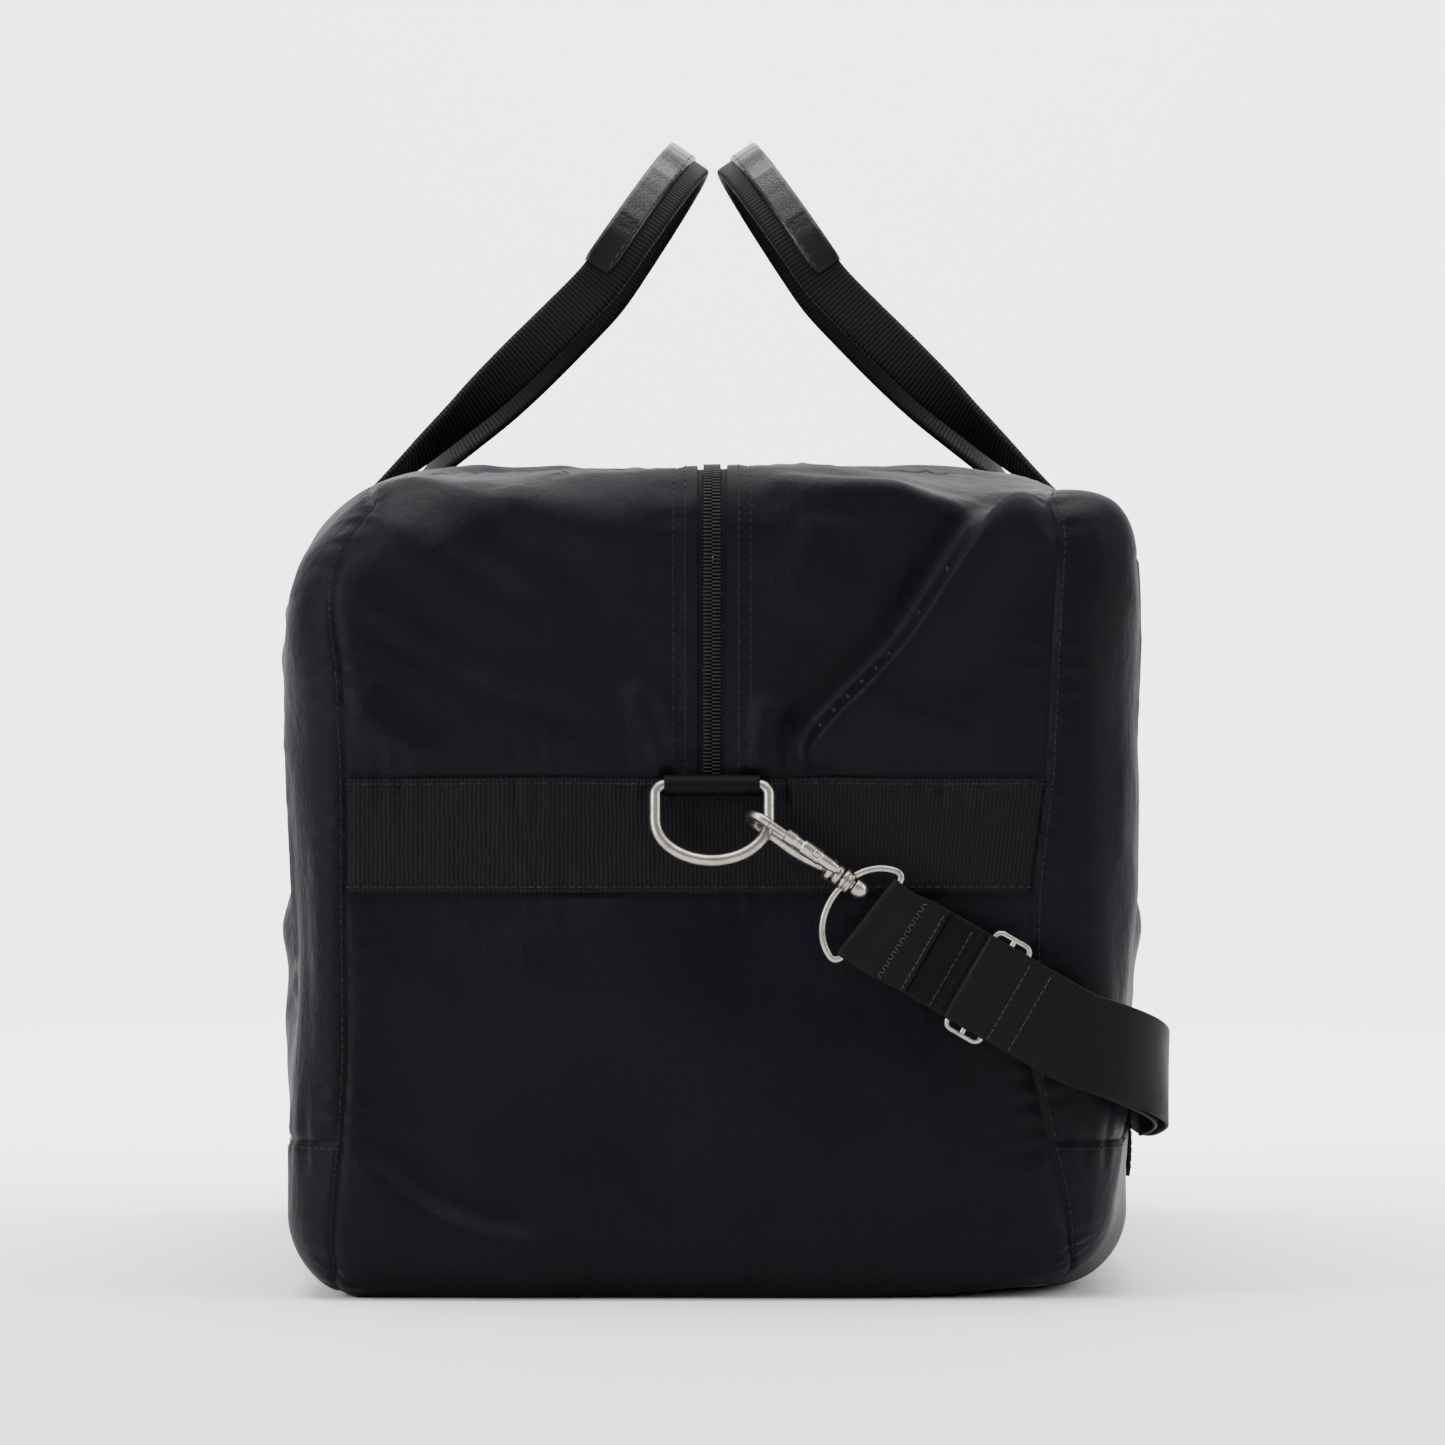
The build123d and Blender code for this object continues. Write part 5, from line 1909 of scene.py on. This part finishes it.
@dataclass
class Handle:
    """One carrying handle: webbing sewn up the side, folded into an arch, with its leather."""

    form: BagForm
    side: Side
    leg_y: float = 0.110
    webbing_half: float = 0.019
    webbing_wall: float = 0.00115
    fold_half: float = 0.010
    fold_wall: float = 0.002
    bottom: float = 0.040
    sewn_to: float = 0.262
    hinge: tuple = (0.177, 0.302)
    leaving: tuple = ((-0.1752, 0.0, 0.284), (-0.1722, 0.002, 0.300), (-0.1645, 0.005, 0.3125))
    bend_x: float = 0.1745
    bend_z: tuple = (0.290, 0.312)
    leg_length: float = 0.1758
    leg_angle: float = 43.0
    grip_angle: float = 56.0
    arch: float = 0.068
    leather: float = 0.0013
    leather_low: float = -0.0020
    leather_high: float = 0.0113

    def on_cloth(self, leg: int, heights: Points) -> Points:
        """How far the cloth stands out under one leg, taken across the leg's width.

        Args:
            leg: -1 for the near leg, 1 for the far one.
            heights: Heights up the leg.

        Returns:
            The distance out at each height.
        """
        reach = np.linspace(-self.webbing_half, self.webbing_half, 5)
        z, y = np.meshgrid(heights, leg * self.leg_y + reach, indexing="ij")
        box = columns(self.side.value * self.form.width, y.ravel(), z.ravel())
        out = np.abs(self.form.skin(box, self.webbing_wall + 0.0001)[:, 0]).reshape(z.shape)
        return smooth_line(out.max(axis=1)[:, None], 6)[:, 0]

    def layout(self) -> tuple[Points, Points, Points, Points]:
        """The left handle's hinge, the ways of its leg and arch, and the arch's centre.

        Returns:
            The hinge, the leg's way, the arch's way and its centre.
        """
        ways = [np.radians(angle) for angle in (self.leg_angle, self.grip_angle)]
        up, rise = (np.array([math.cos(way), 0, math.sin(way)]) for way in ways)
        hinge = np.array([-self.hinge[0], 0, self.hinge[1]])
        return hinge, up, rise, hinge + up * self.leg_length

    def half_frames(self, leg: int) -> tuple[Points, Points, Points, Points]:
        """One leg and its half of the arch, laid out as if it were the near leg on the left.

        Args:
            leg: -1 for the near leg, 1 for the far one.

        Returns:
            Points, width directions, half widths and half thicknesses.
        """
        hinge, up, rise, bend = self.layout()
        spread = (self.leg_y - self.arch) / self.leg_length
        low = np.arange(self.bottom, 0.268, 0.003)
        laid = columns(-self.on_cloth(leg, low), -self.leg_y, low)
        turn = [(x, -self.leg_y + y, z) for x, y, z in self.leaving]
        steps = np.arange(0.030, self.leg_length - 0.004, 0.004)[:, None]
        free = hinge + up * steps
        free[:, 1] = -(self.leg_y - spread * steps[:, 0])
        free[:, 2] -= 0.0035 * np.sin(steps[:, 0] / self.leg_length * math.pi)
        angle = np.linspace(-math.pi / 2 + 0.02, 0, 36)
        arch = bend + self.arch * (np.sin(angle)[:, None] * [0, 1, 0] + np.cos(angle)[:, None] * rise)
        half = smooth_line(resample(np.concatenate([laid, turn, free, arch]), 0.0022), 10)
        meet = np.linalg.norm(half - (bend + [0, -self.arch, 0]), axis=1).argmin()
        length = distances(half)
        past = length - length[meet]
        twist = ease(past, -0.150, -0.018) * math.pi / 2
        across = np.cos(twist)[:, None] * [0, 1, 0] + np.sin(twist)[:, None] * np.cross([0, 1, 0], rise)
        fold = ease(past, -0.170, -0.085)
        width = self.webbing_half + (self.fold_half - self.webbing_half) * fold
        wall = self.webbing_wall + (self.fold_wall - self.webbing_wall) * fold
        return half, across, width, wall

    def frames(self) -> tuple[Points, Points, Points, Points]:
        """The whole handle, from its near leg over the arch to its far leg.

        Returns:
            Points, width directions, half widths and half thicknesses, one row a step.
        """
        mirror = ([1, -1, 1], [1, -1, 1], 1, 1)
        halves = zip(self.half_frames(-1), self.half_frames(1), mirror)
        return tuple(np.concatenate([near, (far * flip)[-2::-1]]) for near, far, flip in halves)

    def build(self) -> None:
        """The webbing, the leather and their stitches."""
        flip = np.array([-self.side.value, 1, 1])
        line, across, width, wall = self.frames()
        word = self.side.word
        piece = Bench.strip(f"handle_webbing_{word}", line * flip, across * flip, width, wall, 14)
        nodes = (f"handle_{word}_legs", f"handle_{word}_loop")
        Bench.settle(piece, Finish.HANDLE, None, nodes, "handle_webbing")
        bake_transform(piece)
        self.grip(flip)
        self.leg_stitches(line, flip)

    def grip(self, flip: Points) -> None:
        """The leather channel over the outer part of the arch, and the stitches along it.

        Args:
            flip: Signs that carry the left handle's points to this side.
        """
        _, _, rise, bend = self.layout()
        out = np.array([-rise[2], 0, rise[0]])
        angle = np.linspace(-math.pi / 2 + 0.06, math.pi / 2 - 0.06, 96)
        spoke = np.sin(angle)[:, None] * [0, 1, 0] + np.cos(angle)[:, None] * rise
        middle = (self.leather_low + self.leather_high) / 2
        half = (self.leather_high - self.leather_low) / 2
        line = bend + spoke * self.arch + out * middle
        ends = ease(np.abs(angle), math.pi / 2 - 0.10, math.pi / 2 - 0.06)
        ripple = 0.00022 * np.sin(angle * 61) * np.sin(angle * 17 + 1)
        wall = self.fold_wall + self.leather - 0.0007 * ends + ripple
        across = np.broadcast_to(out, line.shape)
        word = self.side.word
        half = half - 0.0005 * ends
        piece = Bench.strip(f"grip_{word}", line * flip, across * flip, half, wall, 16, 0.0016)
        Bench.settle(piece, Finish.LEATHER, f"handle_{word}", (f"handle_{word}_grip",), "grip_leather")
        spots, ways, offs = [], [], []
        tangent = np.cos(angle)[:, None] * [0, 1, 0] - np.sin(angle)[:, None] * rise
        for face in (-1, 1):
            radius = self.arch + face * (self.fold_wall + self.leather + 0.0001)
            spots.append((bend + spoke * radius + out * (self.leather_low + 0.0021))[2:-2:2])
            ways.append(tangent[2:-2:2])
            offs.append(face * spoke[2:-2:2])
        stitches = [np.concatenate(part) * flip for part in (spots, ways, offs)]
        thread = Bench.stitches(f"grip_stitches_{word}", *stitches, 0.0026)
        Bench.settle(thread, Finish.PALE_THREAD, f"handle_{word}")

    def leg_stitches(self, line: Points, flip: Points) -> None:
        """Stitches down both edges of each sewn leg, with a boxed cross near its top.

        Args:
            line: The handle's centre line.
            flip: Signs that carry the left handle's points to this side.
        """
        out = np.array([-1.0, 0, 0])
        depth = self.webbing_wall + 0.0002
        low, high = self.bottom + 0.004, self.sewn_to
        inner = self.webbing_half - 0.003
        box_low = high - 2 * inner
        runs = [((-inner, low), (-inner, high)), ((inner, low), (inner, high))]
        runs += [((-inner, z), (inner, z)) for z in (low, high, box_low)]
        runs += [((-inner, box_low), (inner, high)), ((inner, box_low), (-inner, high))]
        spots, ways = [], []
        for start, stop in runs:
            steps = resample(np.array([start, stop]), 0.0034)
            way = unit(np.array([0, stop[0] - start[0], stop[1] - start[1]]))
            for leg in (-1, 1):
                own = line[leg * line[:, 1] > 0.09]
                own = own[np.argsort(own[:, 2])]
                x = np.interp(steps[:, 1], own[:, 2], own[:, 0])
                spots.append(columns(x - depth, leg * self.leg_y + steps[:, 0], steps[:, 1]))
                ways.append(np.broadcast_to(way, (len(steps), 3)))
        offs = [np.broadcast_to(out, part.shape) for part in spots]
        sewn = [np.concatenate(part) * flip for part in (spots, ways, offs)]
        thread = Bench.stitches(f"leg_stitches_{self.side.word}", *sewn, 0.0024)
        Bench.settle(thread, Finish.THREAD, "root")


# ---- Shoulder strap -------------------------------------------------------------------


@dataclass
class Strap:
    """The shoulder strap: two layers of webbing round the right side, with its adjuster."""

    start: tuple = (0.063194, 0.153217)
    grip_y: float = 0.3116
    face_y: float = 0.31395
    tail_y: float = 0.30925
    half: float = 0.019
    wall: float = 0.00078
    slope: float = 30.0
    bow_turn: float = 38.0
    corner: tuple = (0.1455, 0.276)
    corner_z: tuple = (0.1057, 0.08728)
    sag: tuple = (2.64043, 2.71324)
    tail_end: float = -0.160
    bar_turn: float = 0.00235
    sewn_in: float = 0.00075
    glide_at: float = 0.0464
    glide_size: tuple = (0.018, 0.046)
    glide_wire: float = 0.00125
    zigzag_at: float = 0.0150

    def sloped(self, along: Points, off: Points) -> tuple[Points, Points]:
        """Near-end points on the strap, and the way across it.

        Args:
            along: Distance from the bow's bar.
            off: Distance from the bag's centre along -Y.

        Returns:
            The points and the width directions.
        """
        turn = np.radians(self.bow_turn - (self.bow_turn - self.slope) * ease(along, 0.003, 0.022))
        x, z = self.start[0] + along * np.cos(turn), self.start[1] - along * np.sin(turn)
        return columns(x, -off, z), columns(np.sin(turn), 0.0, np.cos(turn))

    def round_corner(self, layer: float, first: float) -> tuple[Points, Points]:
        """The near end stretch from first along the slope, then round the corner.

        Args:
            layer: The webbing's distance from the bag's centre.
            first: Distance from the bow's bar to start at.

        Returns:
            The points and the width directions.
        """
        reach = (self.corner[0] - self.start[0]) / math.cos(math.radians(self.slope))
        flat, across = self.sloped(np.arange(first, reach - 0.004, 0.0015), layer)
        radius = layer - self.corner[1]
        angle = np.linspace(0.02, math.pi / 2, 30)
        z = np.interp(angle, [0, math.pi / 2], self.corner_z)
        x, y = self.corner
        bend = columns(x + radius * np.sin(angle), -y - radius * np.cos(angle), z)
        normal = columns(np.sin(angle), -np.cos(angle), 0.0)
        slope = unit(np.gradient(bend, axis=0))
        return np.concatenate([flat, bend]), np.concatenate([across, unit(np.cross(normal, slope))])

    def along_side(self, layer: float, start: float, stop: float) -> tuple[Points, Points]:
        """The sagging stretch along the side, from one place along Y to another.

        Args:
            layer: The webbing's distance from the bag's centre.
            start: Where it starts along Y.
            stop: Where it stops.

        Returns:
            The points and the width directions.
        """
        y = np.arange(start, stop, 0.003)
        radius, centre = self.sag
        z = centre - np.sqrt(radius**2 - y**2)
        points = columns(self.corner[0] + layer - self.corner[1], y, z)
        return points, columns(0.0, -y / radius, (centre - z) / radius)

    def wrapped(self, first: float, last: float) -> tuple[Points, Points]:
        """The webbing's turn round the bow's bar, from one angle to another.

        Args:
            first: First angle.
            last: Last angle.

        Returns:
            The points and the width directions.
        """
        angle = np.linspace(first, last, 12)
        r = self.bar_turn
        return self.sloped(-r * np.sin(angle), self.grip_y + r * np.cos(angle))

    def turn_back(self) -> tuple[Points, Points]:
        """The webbing's sewn end, back along the front and round the bow's bar.

        Returns:
            The points and the width directions.
        """
        back = np.linspace(0.026, 0.004, 16)
        front = self.grip_y - self.sewn_in + 0.0030 * ease(-back, -0.013, -0.004)
        parts = zip(self.sloped(back, front), self.wrapped(0.35, math.pi - 0.2))
        return tuple(np.concatenate(part) for part in parts)

    def layer(self, name: str, node: str, parts: list[tuple[Points, Points]]) -> None:
        """One length of webbing from its parts' points and width directions.

        Args:
            name: The piece's name.
            node: The CAD node that it stands for.
            parts: The parts in order along the webbing.
        """
        line, across = (np.concatenate(part) for part in zip(*parts))
        across = unit(smooth_line(across, 4))
        piece = Bench.strip(name, smooth_line(line, 2), across, self.half, self.wall, 16)
        Bench.settle(piece, Finish.STRAP, "strap", (node,), "strap_webbing")

    def build(self) -> None:
        """Both lengths of webbing, the adjuster and the stitches."""
        side = self.along_side(self.tail_y, -self.corner[1] + 0.003, self.tail_end)
        under = [self.turn_back(), self.round_corner(self.tail_y, 0.001), side]
        self.layer("strap_under", "strap_tail", under)
        curl = np.linspace(0, math.pi / 2 - 0.1, 7)
        lip = self.sloped(
            self.glide_at - 0.0020 * np.cos(curl), self.face_y - 0.0020 + 0.0020 * np.sin(curl)
        )
        whole = self.along_side(self.face_y, -self.corner[1] + 0.003, self.corner[1])
        near = self.round_corner(self.face_y, self.glide_at + 0.001)
        bend = self.round_corner(self.face_y, 0.003)
        back = np.linspace(0.004, 0.026, 16)
        off = self.grip_y - self.bar_turn + 0.0031 * ease(back, 0.004, 0.013)
        ends = [[part[::-1] for part in bend], self.wrapped(0.2, math.pi - 0.35), self.sloped(back, off)]
        far = [[part * [1, -1, 1] for part in end] for end in ends]
        self.layer("strap_over", "strap_webbing", [lip, near, whole, *far])
        self.adjuster()
        self.details()

    def adjuster(self) -> None:
        """The three-bar slide, its side bars showing past the webbing."""
        along, across = self.glide_size
        r = 0.0026
        low, high = self.glide_at, self.glide_at + along - 0.0028
        reach = across / 2 - 0.0014
        path = [(low, 0)]
        turns = zip((low, high, high, low), (reach, reach, -reach, -reach), (2, 1, 0, -1))
        for x, y, quarter in turns:
            first = quarter * math.pi / 2
            cx, cy = x + (r if x == low else -r), y - math.copysign(r, y)
            for t in np.linspace(first, first - math.pi / 2, 6):
                path.append((cx + r * math.cos(t), cy + r * math.sin(t)))
        path.append((low, 0))
        frame_bar = self.bar("frame", resample(np.array(path), 0.0010), True)
        middle = columns((low + high) / 2, np.linspace(-reach, reach, 24))
        piece = Bench.join("adjuster", [frame_bar, self.bar("middle_bar", middle, False)])
        Hardware.settle(piece, "strap", ("tri_glide",))

    def bar(self, name: str, path: Points, closed: bool) -> Piece:
        """Round bar along a path of distances along and across the strap."""
        points, across = self.sloped(path[:, 0], self.face_y - 0.0020)
        return Bench.tube(name, points + across * path[:, 1:], self.glide_wire, 14, closed)

    def details(self) -> None:
        """Rows of stitches and the smooth keeper patch."""
        front = self.wall + 0.00012
        sewn = self.grip_y - self.sewn_in + front
        lines = [(0.0245, sewn), (0.0375, self.tail_y + front + 0.0006)]
        lines += [(0.0640, self.face_y + front), (0.0735, self.face_y + front)]
        spots, ways = [], []
        low, high = -self.half + 0.002, self.half - 0.0015
        for along, off in lines:
            steps = np.arange(low, high, 0.0029)
            points, across = self.sloped(np.full(len(steps), along), off)
            spots.append(points + across * steps[:, None])
            ways.append(across)
        point, across = self.sloped(np.array([self.zigzag_at]), sewn)
        along = np.cross(across, [0.0, -1.0, 0.0])
        for number, step in enumerate(np.arange(low, high, 0.0016)):
            lean = 0.0019 if number % 2 else -0.0019
            spots.append(point + across * step)
            ways.append(unit(along * 0.0045 + across * lean))
        spots, ways = np.concatenate(spots), np.concatenate(ways)
        offs = np.broadcast_to([0.0, -1.0, 0.0], spots.shape)
        thread = Bench.stitches("strap_stitches", spots, ways, offs, 0.0021)
        Bench.settle(thread, Finish.PALE_THREAD, "strap")
        patch, across = self.sloped(np.linspace(0.0270, 0.0390, 14), self.tail_y + self.wall + 0.0003)
        piece = Bench.strip("keeper_patch", patch, across, self.half - 0.0012, 0.00035, 12)
        Bench.settle(piece, Finish.SMOOTH_TAPE, "strap")


# ---- Stitching ------------------------------------------------------------------------


@dataclass
class Stitching:
    """The rows of thread along every seam, hem and band edge of the bag."""

    form: BagForm
    pitch: float = 0.0033
    length: float = 0.0023

    def lines(self) -> list[tuple[str, list, float]]:
        """Each row: the body it rides on, its line on the box and its lift.

        Returns:
            The rows.
        """
        f = self.form
        beside, h, band = f.seam + 0.0027, f.height, 0.00155
        wrap, low, high = f.wrap - 0.003, f.band_low + 0.0022, f.band_high - 0.0022
        lines = []
        for e in (-1, 1):
            l, crosswise = e * f.length, e * (f.opening + 0.0025)
            for x in (-1, 1):
                upright = [(x * beside, l, 0.004), (x * beside, l, h), (x * beside, e * f.opening, h)]
                lines.append(("root", upright, 0.0))
                for reach in (0.0108, 0.0155):
                    edge = x * reach
                    hem = [(edge, l, f.band_high + 0.002), (edge, l, h), (edge, e * f.opening, h)]
                    lines.append(("root", hem, 0.0))
                    top = [(edge, 0.0, h), (edge, e * (f.opening - 0.001), h)]
                    lines.append((f"top_{Side(x).word}", top, 0.0))
                lines.append(("root", [(x * 0.0185, crosswise, h), (x * f.seam, crosswise, h)], 0.0))
                turn_up = [(x * beside, l, wrap), (x * f.width, l, wrap), (x * f.width, 0, wrap)]
                lines.append(("root", turn_up, 0.0))
                lines.append(("root", [(x * 0.0215, l, high), (x * (f.seam - 0.001), l, high)], band))
            lines.append(("root", [(-f.seam + 0.001, l, low), (f.seam - 0.001, l, low)], band))
        return lines

    def build(self) -> None:
        """All rows as one mesh for each body."""
        groups: dict[str, list] = {}
        for body, line, lift in self.lines():
            boxed = self.form.even(line, self.pitch)
            spots = self.form.skin(boxed, lift + 0.0001)
            normals = self.form.rest(boxed)[1]
            groups.setdefault(body, []).append((spots, unit(np.gradient(spots, axis=0)), normals))
        for body, rows in groups.items():
            parts = [np.concatenate(part) for part in zip(*rows)]
            thread = Bench.stitches(f"stitches_{body}", *parts, self.length)
            Bench.settle(thread, Finish.THREAD, body)


# ---- Stage ----------------------------------------------------------------------------


@dataclass
class Stage:
    """Pale seamless floor, soft studio light and the camera level with the bag's end."""

    camera_gap: float = 3.0
    view_width: float = 0.578
    sensor: float = 36.0
    aim: tuple = (0.0042, 0.2318)
    floor_half: float = 9.0
    backdrop: float = 2.6
    backdrop_radius: float = 1.4
    sky: float = 0.6
    lamps: tuple = (
        ("overhead_softbox", (0.0, -0.2, 2.3), (2.4, 2.6), 120.0, (0, 0, 0.2)),
        ("left_softbox", (-2.3, -1.7, 1.2), (1.2, 1.8), 70.0, (0, 0, 0.2)),
        ("right_softbox", (2.4, -1.0, 1.3), (1.0, 1.8), 36.0, (0, 0, 0.2)),
        ("backdrop_light", (0.0, 0.9, 2.6), (4.0, 1.0), 420.0, (0, 4.0, 0.9)),
    )

    def build(self) -> None:
        """Make the floor, lights and camera."""
        half, behind, radius = self.floor_half, self.backdrop, self.backdrop_radius
        angles = np.linspace(0, math.pi / 2, 24)
        bend = [(behind + radius * math.sin(t), radius - radius * math.cos(t)) for t in angles]
        profile = resample(np.array([(-half, 0.0), *bend, (behind + radius, half)]), 0.12)

        def sweep(u: np.ndarray, v: np.ndarray) -> Points:
            """The floor, turning up into the backdrop."""
            return columns((u * 2 - 1) * half, *profile[rows(v, len(profile) - 1)].T)

        floor = Bench.sheet("studio_floor", (8, len(profile) - 1), sweep, (2 * half, 2 * half))
        tree = ShaderTree("studio_floor")
        tone = tree.span(tree.noise(tree.place(), 0.8, 2, 0.5), 0.3, 0.7)
        paint = tree.mix(tone, (0.86, 0.86, 0.865), (0.88, 0.88, 0.885))
        floor.data.materials.append(tree.dress(Base_Color=paint, Roughness=0.9))
        world = bpy.data.worlds.new("studio")
        world.use_nodes = True
        sky = world.node_tree.nodes["Background"].inputs
        sky[0].default_value, sky[1].default_value = (1.0, 1.0, 1.0, 1.0), self.sky
        bpy.context.scene.world = world
        for lamp in self.lamps:
            self.lamp(*lamp)
        camera = bpy.data.cameras.new("camera")
        camera.sensor_width = self.sensor
        camera.lens = self.sensor * self.camera_gap / self.view_width
        camera.clip_start, camera.clip_end = 0.05, 100.0
        eye = bpy.data.objects.new("camera", camera)
        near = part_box("end_panel_near")[0].y
        eye.location = (self.aim[0], near - self.camera_gap, self.aim[1])
        eye.rotation_euler = (math.radians(90), 0, 0)
        bpy.context.scene.collection.objects.link(eye)
        bpy.context.scene.camera = eye

    @staticmethod
    def lamp(name: str, spot: tuple, size: tuple, power: float, aim: tuple) -> None:
        """A rectangular softbox turned to where it is aimed.

        Args:
            name: The lamp's name.
            spot: Its place.
            size: Its width and height.
            power: Watts.
            aim: The point that it faces.
        """
        light = bpy.data.lights.new(name, "AREA")
        light.shape = "RECTANGLE"
        light.size, light.size_y = size
        light.energy = power
        holder = bpy.data.objects.new(name, light)
        holder.location = spot
        way = Vector(aim) - Vector(spot)
        holder.rotation_euler = way.to_track_quat("-Z", "Y").to_euler()
        bpy.context.scene.collection.objects.link(holder)


def main() -> None:
    """Build the bag's sub-assemblies in order."""
    logging.basicConfig(level=logging.INFO, format="%(message)s")
    form = BagForm()
    body = SewnBody(form)
    body.dress(body.build())
    body.line_inside()
    Hardware.plate("base_board", Finish.BOARD, 0.0)
    Zip(form).build()
    for end in End:
        EndBand(form, end).build()
        Hardware(end).build()
    for side in Side:
        Handle(form, side).build()
    Strap().build()
    Stitching(form).build()
    Stage().build()


if __name__ == "__main__":
    main()
